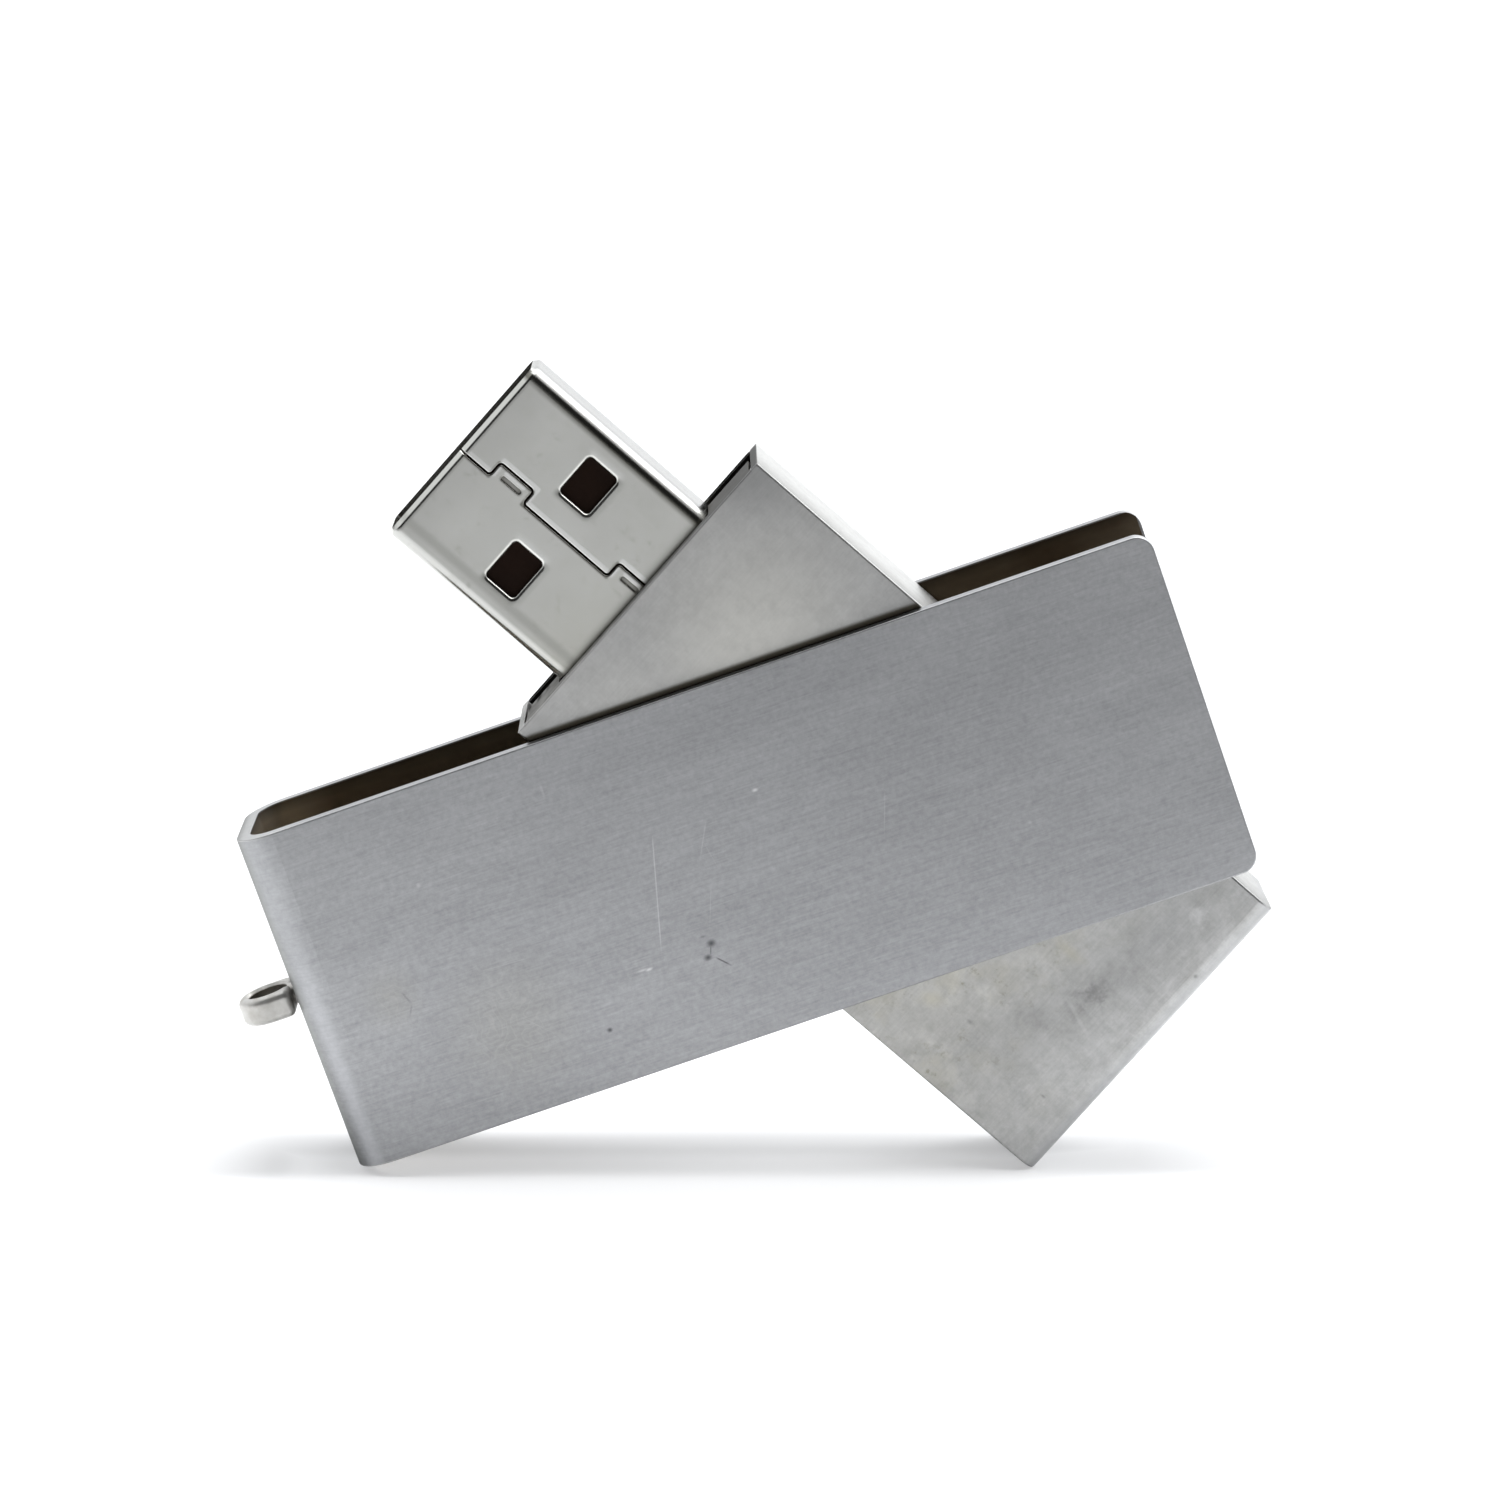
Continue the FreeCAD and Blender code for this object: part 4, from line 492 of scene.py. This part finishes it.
def mat_plug():
    t = Tree("plug_satin_nickel")
    p = drive_mm(t)
    x, y, z = t.xyz(p)
    s = t.math("ADD", x, 29.6)        # from the mouth
    w = t.math("ADD", z, 0.3)         # from the middle line
    cloud = t.noise(t.vec(x, y, z), 0.22, 4.0, 0.6, seed=4.0)
    fine = t.noise(t.vec(t.math("MULTIPLY", x, 2.2), t.math("MULTIPLY", y, 6.0), t.math("MULTIPLY", z, 6.0)), 1.0, 4.0, 0.7, seed=9.0)
    base = t.mix(t.remap(cloud, 0.3, 0.7, 0.0, 1.0), PLUG_DARK, PLUG_LIGHT)
    base = t.mix(t.remap(fine, 0.35, 0.7, 0.0, 0.18), base, (0.70, 0.70, 0.67))
    # contact wear: fine lines along the plug's length
    wear = t.noise(t.vec(t.math("MULTIPLY", x, 0.12), 0.0, t.math("MULTIPLY", z, 5.0)), 1.0, 2.0, 0.5, seed=1.0)
    base = t.mix(t.remap(wear, 0.60, 0.74, 0.0, 0.16), base, (0.80, 0.80, 0.78))
    # dust spots and a warm film towards the body
    spot = t.noise(t.vec(x, y, z), 1.3, 4.0, 0.7, seed=55.0)
    base = t.mix(t.math("MULTIPLY", t.remap(spot, 0.585, 0.68, 0.0, 1.0), 0.20), base, (0.24, 0.24, 0.19))
    warm = t.math("MULTIPLY", t.remap(s, 7.5, 11.5, 0.0, 1.0), t.remap(w, 1.5, -3.5, 0.2, 1.0))
    base = t.mix(t.math("MULTIPLY", warm, 0.3), base, (0.60, 0.59, 0.50))
    face = t.remap(y, 2.26, 2.31, 1.0, 0.0)
    # dark lines in the rolled seam and the staking marks, soiling and painted shade; a painted highlight on the far
    # side of each
    P = ((-0.2, 0.0), (2.05, 0.0), (2.05, 0.9), (4.4, 0.9), (4.4, 0.0), (10.36, 0.0), (10.36, 0.95), (12.5, 0.95))
    D = [stroke(t, s, w, a[0] - 0.03, a[1] - 0.07, b[0] - 0.03, b[1] - 0.07, 0.17) for a, b in zip(P, P[1:])]
    D += [stroke(t, s, w, 2.7, 0.29, 3.85, 0.29, 0.24), stroke(t, s, w, 11.05, 0.38, 12.2, 0.38, 0.22)]
    G = [stroke(t, s, w, a[0] + 0.1, a[1] + 0.2, b[0] + 0.1, b[1] + 0.2, 0.2) for a, b in zip(P, P[1:])]
    G += [stroke(t, s, w, 2.7, 0.66, 3.85, 0.66, 0.2), stroke(t, s, w, 11.05, 0.74, 12.2, 0.74, 0.2)]
    base = t.mix(t.math("MULTIPLY", t.math("MULTIPLY", add_up(t, G), face), 0.75), base, (1.0, 1.0, 0.98))
    base = t.mix(t.math("MULTIPLY", t.math("MULTIPLY", add_up(t, D), face), 0.72), base, (0.12, 0.115, 0.095))
    # shading round the two latch windows
    for wc in (3.03, -3.03):
        a = t.math("SUBTRACT", t.math("ABSOLUTE", t.math("SUBTRACT", s, 6.395)), 0.965)
        low_d = t.math("SUBTRACT", wc - 1.23, w)
        up_d = t.math("SUBTRACT", w, wc + 1.23)
        in_s, in_w = t.remap(a, 0.0, 0.3, 1.0, 0.0), t.remap(t.math("ABSOLUTE", t.math("SUBTRACT", w, wc)), 1.23, 1.5, 1.0, 0.0)
        low = t.math("MULTIPLY", t.math("MULTIPLY", t.remap(low_d, -0.06, 0.0, 0.0, 1.0), t.remap(low_d, 0.18, 0.46, 1.0, 0.0)), in_s)
        far_d = t.math("SUBTRACT", s, 7.36)
        far = t.math("MULTIPLY", t.math("MULTIPLY", t.remap(far_d, -0.06, 0.0, 0.0, 1.0), t.remap(far_d, 0.1, 0.6, 1.0, 0.0)), in_w)
        up = t.math("MULTIPLY", t.math("MULTIPLY", t.remap(up_d, 0.1, 0.2, 0.0, 1.0), t.remap(up_d, 0.2, 0.6, 1.0, 0.0)), in_s)
        base = t.mix(t.math("MULTIPLY", t.math("MULTIPLY", low, face), 0.66), base, (0.14, 0.14, 0.12))
        base = t.mix(t.math("MULTIPLY", t.math("MULTIPLY", far, face), 0.40), base, (0.16, 0.16, 0.14))
        base = t.mix(t.math("MULTIPLY", t.math("MULTIPLY", up, face), 0.5), base, (1.0, 1.0, 0.98))
    # painted dark reflections where the sheet starts to round, at the long edge and behind the mouth
    ledge = t.math("MULTIPLY", t.math("MULTIPLY", t.remap(w, 5.02, 5.3, 0.0, 1.0), t.remap(w, 5.70, 5.55, 0.0, 1.0)), t.remap(y, 2.75, 2.85, 1.0, 0.0))
    ledge = t.math("MAXIMUM", ledge, t.math("MULTIPLY", t.math("MULTIPLY", t.remap(s, 0.25, 0.31, 0.0, 1.0), t.remap(s, 0.34, 0.5, 1.0, 0.0)), t.math("MULTIPLY", face, 0.6)))
    base = t.mix(t.math("MULTIPLY", ledge, 0.78), base, (0.06, 0.055, 0.035))
    # painted highlight on the crown of the rounded long edge, which is made partly non-metallic
    crown = t.math("MULTIPLY", t.math("MULTIPLY", t.remap(w, 5.57, 5.68, 0.0, 1.0), t.remap(w, 5.74, 5.84, 1.0, 0.0)), t.remap(y, 2.75, 2.95, 1.0, 0.0))
    base = t.mix(t.math("MULTIPLY", crown, 0.7), base, (0.90, 0.90, 0.87))
    # painted shade on the crest beyond it and down the flank
    crest = t.math("MULTIPLY", t.math("MULTIPLY", t.remap(y, 2.42, 2.7, 0.0, 1.0), t.remap(y, 3.2, 3.7, 1.0, 0.0)), t.remap(w, 5.75, 5.9, 0.0, 1.0))
    base = t.mix(t.math("MULTIPLY", crest, 0.6), base, (0.25, 0.25, 0.26))
    flank = t.math("MULTIPLY", t.remap(y, 2.9, 3.6, 0.0, 1.0), t.remap(w, 5.6, 5.9, 0.0, 1.0))
    base = t.mix(t.math("MULTIPLY", flank, 0.46), base, (0.36, 0.36, 0.37))
    tip = t.math("MULTIPLY", t.remap(s, 0.3, 3.2, 1.0, 0.0, smooth=True), face)
    base = t.mix(t.math("MULTIPLY", tip, 0.30), base, (0.44, 0.44, 0.42))
    vale = t.math("MULTIPLY", t.remap(t.math("ABSOLUTE", t.math("ADD", w, 4.75)), 0.05, 0.42, 1.0, 0.0, smooth=True), t.remap(y, 2.6, 2.8, 1.0, 0.0))
    base = t.mix(t.math("MULTIPLY", vale, 0.5), base, (0.40, 0.40, 0.37))
    low = t.math("MULTIPLY", t.remap(w, -5.25, -5.6, 0.0, 1.0, smooth=True), t.remap(y, 3.6, 4.2, 1.0, 0.0))
    base = t.mix(t.math("MULTIPLY", low, 0.5), base, (0.42, 0.42, 0.41))
    mott = t.noise(t.vec(x, y, z), 1.9, 4.0, 0.7, seed=58.0)
    base = t.mix(t.math("MULTIPLY", t.remap(mott, 0.52, 0.66, 0.0, 1.0), 0.10), base, (0.50, 0.50, 0.41))
    # painted shade in crevices and close to neighbours, from ambient occlusion
    crevice_shade = t.remap(t.ao(0.0006, samples=8), 0.45, 0.95, 1.0, 0.0)
    base = t.mix(t.math("MULTIPLY", crevice_shade, 0.75), base, (0.07, 0.06, 0.045))
    # painted shade: the inside faces of the shell are dark
    inside = t.math("MULTIPLY", t.remap(y, 2.5, 2.56, 0.0, 1.0), t.remap(y, 6.44, 6.5, 1.0, 0.0))
    inside = t.math("MULTIPLY", inside, t.remap(t.math("ABSOLUTE", w), 5.66, 5.7, 1.0, 0.0))
    base = t.mix(t.math("MULTIPLY", inside, 0.8), base, (0.10, 0.095, 0.085))
    t.set(Base_Color=base, Metallic=t.math("SUBTRACT", 1.0, t.math("MULTIPLY", crown, 0.55)), Roughness=t.remap(cloud, 0.3, 0.7, 0.17, 0.23),
          Normal=t.bump(t.math("ADD", fine, cloud), 0.05, 0.00005))
    return t.mat


def mat_eye():
    t = Tree("eye_bright_nickel")
    p = clip_mm(t)
    x, y, z = t.xyz(p)
    n = t.noise(t.vec(x, y, z), 1.6, 4.0, 0.6, seed=6.0)
    # painted shade in crevices and close to neighbours, from ambient occlusion
    crevice_shade = t.math("SUBTRACT", 1.0, t.ao(0.0009, samples=8))
    base = t.mix(t.remap(n, 0.35, 0.7, 0.0, 1.0), (0.64, 0.63, 0.605), (0.51, 0.495, 0.46))
    base = t.mix(t.math("MULTIPLY", crevice_shade, 0.6, clamp=True), base, (0.08, 0.06, 0.04))
    # wall of the hole: painted shade
    hx, hy = t.math("ADD", x, 35.3), t.math("SUBTRACT", y, 4.5)
    rr = t.math("SQRT", t.math("ADD", t.math("MULTIPLY", hx, hx), t.math("MULTIPLY", hy, hy)))
    base = t.mix(t.math("MULTIPLY", t.remap(rr, 1.10, 1.14, 1.0, 0.0), 0.75), base, (0.10, 0.085, 0.06))
    t.set(Base_Color=base, Metallic=0.72, Roughness=t.remap(n, 0.3, 0.7, 0.30, 0.46),
          Normal=t.bump(n, 0.08, 0.0001))
    return t.mat


def mat_turned(name, col, rough, centre=(0.0, 4.5, 0.0)):
    """Turned or stamped round metal piece: rings round its axis."""
    t = Tree(name)
    p = clip_mm(t)
    x, y, z = t.xyz(p)
    r = t.math("SQRT", t.math("ADD", t.math("MULTIPLY", x, x), t.math("MULTIPLY", z, z)))
    rings = t.noise(t.vec(t.math("MULTIPLY", r, 14.0), t.math("MULTIPLY", y, 14.0), 0.0), 1.0, 2.0, 0.6)
    base = t.mix(t.remap(rings, 0.35, 0.65, 0.0, 1.0), tuple(c * 0.8 for c in col), col)
    t.set(Base_Color=base, Metallic=1.0, Roughness=rough, Normal=t.bump(rings, 0.08, 0.00004))
    return t.mat


def mat_moulded(name, col, rough=0.5, grain=7.0, spread=0.15, strength=0.12, gloss=0.5):
    """Moulded plastic with a fine spark texture and slight tone changes."""
    t = Tree(name)
    p = t.vmath("SCALE", t.obj(), 1000.0)
    g = t.noise(p, grain, 3.0, 0.6)
    c = t.noise(p, 0.6, 3.0, 0.5)
    base = t.mix(t.remap(c, 0.3, 0.7, 0.0, 1.0), tuple(k * (1 - spread) for k in col), tuple(min(1, k * (1 + spread)) for k in col))
    t.set(Base_Color=base, Roughness=t.remap(g, 0.3, 0.7, rough - 0.06, rough + 0.06), Normal=t.bump(g, strength, 0.00004),
          Specular_IOR_Level=gloss)
    return t.mat


def mat_film():
    t = Tree("film_amber")
    p = drive_mm(t)
    w = t.noise(p, 0.35, 3.0, 0.5)
    base = t.mix(t.remap(w, 0.3, 0.7, 0.0, 1.0), (0.62, 0.30, 0.05), (0.80, 0.46, 0.12))
    t.set(Base_Color=base, Roughness=0.25, Alpha=0.75, Normal=t.bump(w, 0.3, 0.0003))
    return t.mat


def mat_board():
    t = Tree("board_solder_mask")
    p = drive_mm(t)
    x, y, z = t.xyz(p)
    # copper runs under the mask: stepped lines, then vias
    d, c = t.voronoi(t.vec(t.math("MULTIPLY", x, 0.9), 0.0, t.math("MULTIPLY", z, 1.6)), 1.0, "F1", "CHEBYCHEV", 0.85)
    trace = t.remap(t.math("PINGPONG", t.math("MULTIPLY", d, 9.0), 1.0), 0.35, 0.6, 0.0, 1.0)
    v, _ = t.voronoi(t.vec(x, 0.0, z), 0.55, "F1", "EUCLIDEAN", 0.9)
    via = t.remap(v, 0.10, 0.13, 1.0, 0.0)
    pitted = t.noise(p, 3.0, 3.0, 0.6)
    base = t.mix(trace, (0.012, 0.11, 0.045), (0.03, 0.20, 0.085))
    base = t.mix(via, base, (0.70, 0.62, 0.38))
    edge = t.math("MAXIMUM", t.remap(t.math("ABSOLUTE", z), 8.14, 8.17, 0.0, 1.0), t.remap(x, 17.5, 17.56, 0.0, 1.0))
    base = t.mix(edge, base, (0.46, 0.42, 0.26))
    t.set(Base_Color=base, Metallic=t.math("MULTIPLY", via, 0.9), Roughness=t.remap(pitted, 0.3, 0.7, 0.28, 0.4),
          Normal=t.bump(t.math("ADD", trace, via), 0.25, 0.00004))
    return t.mat


def mat_contact():
    t = Tree("contact_gold")
    p = drive_mm(t)
    x, y, z = t.xyz(p)
    n = t.noise(t.vec(t.math("MULTIPLY", x, 0.4), y, t.math("MULTIPLY", z, 9.0)), 1.0, 3.0, 0.6)
    base = t.mix(t.remap(n, 0.35, 0.7, 0.0, 1.0), (0.90, 0.66, 0.26), (0.78, 0.60, 0.32))
    tail = t.remap(x, -11.3, -10.9, 0.0, 1.0)
    base = t.mix(tail, base, (0.66, 0.66, 0.65))
    t.set(Base_Color=base, Metallic=1.0, Roughness=t.remap(n, 0.3, 0.7, 0.2, 0.34), Normal=t.bump(n, 0.08, 0.00003))
    return t.mat


def mat_tin(name, col=(0.70, 0.70, 0.69), rough=0.34):
    t = Tree(name)
    p = drive_mm(t)
    n = t.noise(p, 9.0, 3.0, 0.6)
    base = t.mix(t.remap(n, 0.3, 0.7, 0.0, 1.0), tuple(c * 0.78 for c in col), col)
    t.set(Base_Color=base, Metallic=1.0, Roughness=t.remap(n, 0.3, 0.7, rough - 0.08, rough + 0.08), Normal=t.bump(n, 0.1, 0.00003))
    return t.mat


def mat_smd(name, body, cap, table, half):
    """Chip component: plated ends on both sides of a fired body.  Ends are placed from each part's centre."""
    t = Tree(name)
    p = drive_mm(t)
    x, y, z = t.xyz(p)
    end = None
    for cx, cz, turn in table:
        a, b = (z, cz) if turn else (x, cx)
        c, d = (x, cx) if turn else (z, cz)
        far = t.remap(t.math("ABSOLUTE", t.math("SUBTRACT", a, b)), half - 0.03, half, 0.0, 1.0)
        near = t.math("MULTIPLY", t.remap(t.math("ABSOLUTE", t.math("SUBTRACT", a, b)), 0.9, 0.92, 1.0, 0.0),
                      t.remap(t.math("ABSOLUTE", t.math("SUBTRACT", c, d)), 0.5, 0.52, 1.0, 0.0))
        e = t.math("MULTIPLY", far, near)
        end = e if end is None else t.math("MAXIMUM", end, e)
    n = t.noise(p, 7.0, 3.0, 0.6)
    base = t.mix(end, t.mix(t.remap(n, 0.3, 0.7, 0.0, 1.0), tuple(c * 0.85 for c in body), body), cap)
    t.set(Base_Color=base, Metallic=end, Roughness=t.remap(n, 0.3, 0.7, 0.35, 0.5), Normal=t.bump(n, 0.1, 0.00003))
    return t.mat


CAPS = ((-5.6, 3.6, False), (-5.6, -3.6, False), (-3.4, 6.4, False), (9.4, 5.6, True), (9.4, -5.6, True), (13.5, 4.6, False))
RESS = ((-5.6, 1.6, False), (-5.6, -1.6, False), (0.0, 6.4, False), (3.0, 6.4, False), (0.0, -6.4, False), (13.5, -4.6, False))

steel = mat_turned("stud_turned_steel", (0.60, 0.60, 0.60), 0.3)
ptfe = mat_moulded("washer_ptfe", (0.80, 0.80, 0.77), 0.45, 5.0, 0.05)
chip_m = mat_moulded("chip_epoxy", (0.035, 0.035, 0.038), 0.55, 9.0, 0.2, 0.2)
look = {
    "clip_band": mat_clip(),
    "front_pivot_stud": steel,
    "rear_pivot_stud": steel,
    "front_thrust_washer": ptfe,
    "rear_thrust_washer": ptfe,
    "eye_retaining_washer": mat_turned("washer_steel", (0.55, 0.55, 0.54), 0.35),
    "key_eye": mat_eye(),
    "body_front_shell": mat_body(),
    "body_back_cover": mat_body(),
    "front_pivot_bush": mat_moulded("bush_acetal", (0.03, 0.03, 0.03), 0.35, 5.0),
    "rear_pivot_bush": mat_moulded("bush_acetal_rear", (0.03, 0.03, 0.03), 0.35, 5.0),
    "carrier_frame": mat_moulded("carrier_abs", (0.006, 0.006, 0.006), 0.6, 7.0, gloss=0.0),
    "front_insulating_film": mat_film(),
    "rear_insulating_film": mat_film(),
    "plug_shell": mat_plug(),
    "plug_insulator": mat_moulded("plug_moulding", (0.012, 0.0042, 0.0015), 0.6, 6.0, gloss=0.12),
    "plug_contacts": mat_contact(),
    "circuit_board": mat_board(),
    "flash_memory_chip": chip_m,
    "flash_chip_leads": mat_tin("lead_tin"),
    "controller_chip": chip_m,
    "controller_leads": mat_tin("lead_tin_controller"),
    "crystal": mat_tin("crystal_can", (0.72, 0.71, 0.68), 0.28),
    "capacitors": mat_smd("capacitor_ceramic", (0.50, 0.37, 0.24), (0.7, 0.7, 0.69), CAPS, 0.5),
    "resistors": mat_smd("resistor_glaze", (0.05, 0.05, 0.06), (0.7, 0.7, 0.69), RESS, 0.55),
}
for name, o in nodes.items():
    o.data.materials.clear()
    o.data.materials.append(look[name])

# ------------------------------------------------------------------------------------------
# floor, light, camera
# ------------------------------------------------------------------------------------------
lo, hi = cad_bounds[0], cad_bounds[1]
floor_z = lo[2]
FLOOR_FAR = 0.39

fm = bpy.data.meshes.new("studio_floor")
R = 4.0
fm.from_pydata([(-R, -R, floor_z), (R, -R, floor_z), (R, R, floor_z), (-R, R, floor_z)], [], [(0, 1, 2, 3)])
floor = bpy.data.objects.new("studio_floor", fm)
scene.collection.objects.link(floor)
ft = Tree("floor_white")
ft.set(Roughness=0.75)
ft.bsdf.inputs["Specular IOR Level"].default_value = 0.1
gx, gy, gz = ft.xyz(ft.vmath("SCALE", ft.obj(), 1000.0))
# the sheet of paper is lit around the object and falls off towards the front of the table
fall = ft.remap(gy, -110.0, -8.0, FLOOR_FAR, 0.93, smooth=True)
lp = ft.t.nodes.new("ShaderNodeLightPath")
seen = lp.outputs["Is Camera Ray"]
# the shadow pool keeps close under the object and runs out to both sides
high = ft.math("MULTIPLY", ft.remap(gy, 3.0, 5.6, 0.0, 1.0, smooth=True), ft.remap(gy, 11.2, 7.0, 0.0, 1.0, smooth=True))
pool = ft.math("MULTIPLY", ft.remap(gx, -38.5, -32.0, 0.0, 1.0, smooth=True), ft.remap(gx, 28.0, 14.0, 0.0, 1.0, smooth=True))
low = ft.math("MULTIPLY", ft.remap(gy, -1.2, 1.8, 0.0, 1.0, smooth=True), ft.remap(gy, 11.2, 6.0, 0.0, 1.0, smooth=True))
ends = ft.math("ADD", ft.remap(gx, -31.0, -33.5, 0.0, 1.0, smooth=True), ft.remap(gx, 6.0, 15.0, 0.0, 1.0, smooth=True))
dark = ft.math("MAXIMUM", ft.math("MULTIPLY", ft.math("MULTIPLY", high, pool), 0.19), ft.math("MULTIPLY", ft.math("MULTIPLY", low, pool), ft.math("MULTIPLY", ends, 0.20)))
keep = ft.math("SUBTRACT", 1.0, dark)
# painted light: the floor just in front of the object is brightened, which takes out the rendered shadow there
ahead = ft.math("MULTIPLY", ft.remap(gy, 1.2, -1.4, 0.0, 1.0, smooth=True), 0.16)
tone = ft.math("ADD", ft.math("MULTIPLY", fall, ft.math("SUBTRACT", 1.0, seen)), ft.math("MULTIPLY", ft.math("MULTIPLY", seen, keep), 0.93 * 0.62))
ft.set(Base_Color=ft.vmath("SCALE", ft.vec(0.995, 1.0, 1.012), tone), Emission_Color=(0.995, 1.0, 1.012),
       Emission_Strength=ft.math("MULTIPLY", ft.math("MULTIPLY", seen, keep), ft.math("ADD", 0.41, ahead)))
fm.materials.append(ft.mat)
# the drive sweeps lower than it stands at rest, so the table gives way: it stays under the drive's lowest corner
dv = floor.driver_add("location", 2).driver
for name, part in (("w", "ROT_W"), ("y", "ROT_Y")):
    v = dv.variables.new()
    v.name, v.type = name, "TRANSFORMS"
    v.targets[0].id = frame["bodies"]["drive"]
    v.targets[0].transform_type = part
    v.targets[0].transform_space = "WORLD_SPACE"
    v.targets[0].rotation_mode = "QUATERNION"
low = []
for cx, cz in ((-29.6, -6.3), (-29.6, 5.7), (19.9, -9.75), (19.9, 9.75)):
    wx = cx * math.cos(DRIVE_ANGLE) + cz * math.sin(DRIVE_ANGLE)
    wz = cz * math.cos(DRIVE_ANGLE) - cx * math.sin(DRIVE_ANGLE)
    low.append("%.2f-%.2f*w*y+%.2f*(w*w-y*y)" % (-floor_z / MM + 0.25, 2 * wx, wz))
dv.type = "SCRIPTED"
dv.expression = ("min(0,%s)/1000" % ",".join(low)).replace("--", "+").replace("+-", "-")

world = bpy.data.worlds.new("studio")
scene.world = world
world.use_nodes = True
wt = world.node_tree
wt.nodes.clear()


def wmath(op, a, b=None, clamp=False):
    n = wt.nodes.new("ShaderNodeMath")
    n.operation = op
    n.use_clamp = clamp
    for i, v in enumerate((a, b)):
        if isinstance(v, bpy.types.NodeSocket):
            wt.links.new(v, n.inputs[i])
        elif v is not None:
            n.inputs[i].default_value = v
    return n.outputs[0]


def wdir(x, y, z, power):
    """A soft lobe of light around a direction."""
    d = Vector((x, y, z)).normalized()
    n = wt.nodes.new("ShaderNodeVectorMath")
    n.operation = "DOT_PRODUCT"
    wt.links.new(wtc.outputs["Generated"], n.inputs[0])
    n.inputs[1].default_value = d
    return wmath("POWER", wmath("MAXIMUM", n.outputs["Value"], 0.0), power)


wtc = wt.nodes.new("ShaderNodeTexCoord")
sep = wt.nodes.new("ShaderNodeSeparateXYZ")
wt.links.new(wtc.outputs["Generated"], sep.inputs[0])


def wstep(v, a, b, c, d):
    n = wt.nodes.new("ShaderNodeMapRange")
    n.interpolation_type = "SMOOTHSTEP"
    wt.links.new(v, n.inputs[0])
    for i, k in enumerate((a, b, c, d)):
        n.inputs[i + 1].default_value = k
    return n.outputs[0]


# the room behind the viewer is dim; the tent over and behind the object is bright
tent = wstep(sep.outputs["Y"], -0.42, -0.05, 0.0, 1.0)
side = wmath("ADD", 0.85, wmath("MULTIPLY", wdir(0.75, 0.3, 0.62, 3.0), 1.7))
side = wmath("ADD", side, wmath("MULTIPLY", wdir(-0.2, 0.4, 0.9, 4.0), 0.5))
glow = wmath("ADD", 0.045, wmath("MULTIPLY", tent, side))
bg = wt.nodes.new("ShaderNodeBackground")
bg.inputs["Color"].default_value = (0.97, 0.985, 1.0, 1)
wt.links.new(glow, bg.inputs["Strength"])
white = wt.nodes.new("ShaderNodeBackground")
white.inputs["Color"].default_value = (1, 1, 1, 1)
white.inputs["Strength"].default_value = 1.0
path = wt.nodes.new("ShaderNodeLightPath")
pick = wt.nodes.new("ShaderNodeMixShader")
wt.links.new(path.outputs["Is Camera Ray"], pick.inputs[0])
wt.links.new(bg.outputs[0], pick.inputs[1])
wt.links.new(white.outputs[0], pick.inputs[2])
wo = wt.nodes.new("ShaderNodeOutputWorld")
wt.links.new(pick.outputs[0], wo.inputs[0])

sun = bpy.data.lights.new("top_softlight", "SUN")
sun.energy = 1.95
sun.angle = math.radians(75)
sun.color = (1.0, 0.995, 0.985)
so = bpy.data.objects.new("top_softlight", sun)
scene.collection.objects.link(so)
so.location = (0.1, 0.1, 0.5)
so.rotation_euler = Vector((-0.35, -0.15, -0.92)).to_track_quat("-Z", "Y").to_euler()

cam = bpy.data.cameras.new("camera")
cam.sensor_fit = "HORIZONTAL"
cam.sensor_width = 36.0
cam.lens = 4985.7 / 1500 * 36.0
cam.clip_start = 0.01
cam.clip_end = 20
co = bpy.data.objects.new("camera", cam)
scene.collection.objects.link(co)
yaw, pitch = math.radians(0.509), math.radians(12.024)
fwd = Vector((math.sin(yaw) * math.cos(pitch), math.cos(yaw) * math.cos(pitch), -math.sin(pitch)))
right = Vector((math.cos(yaw), -math.sin(yaw), 0))
up = right.cross(fwd)
m = Matrix.Identity(4)
for i in range(3):
    m[i][0], m[i][1], m[i][2] = right[i], up[i], -fwd[i]
m[0][3], m[1][3], m[2][3] = -9.347 * MM, -261.178 * MM, 59.046 * MM
co.matrix_world = m
scene.camera = co

scene.view_settings.view_transform = "Standard"
scene.view_settings.look = "None"
scene.view_settings.exposure = 0.0
scene.view_settings.gamma = 1.0
scene.cycles.max_bounces = 12
scene.cycles.glossy_bounces = 8
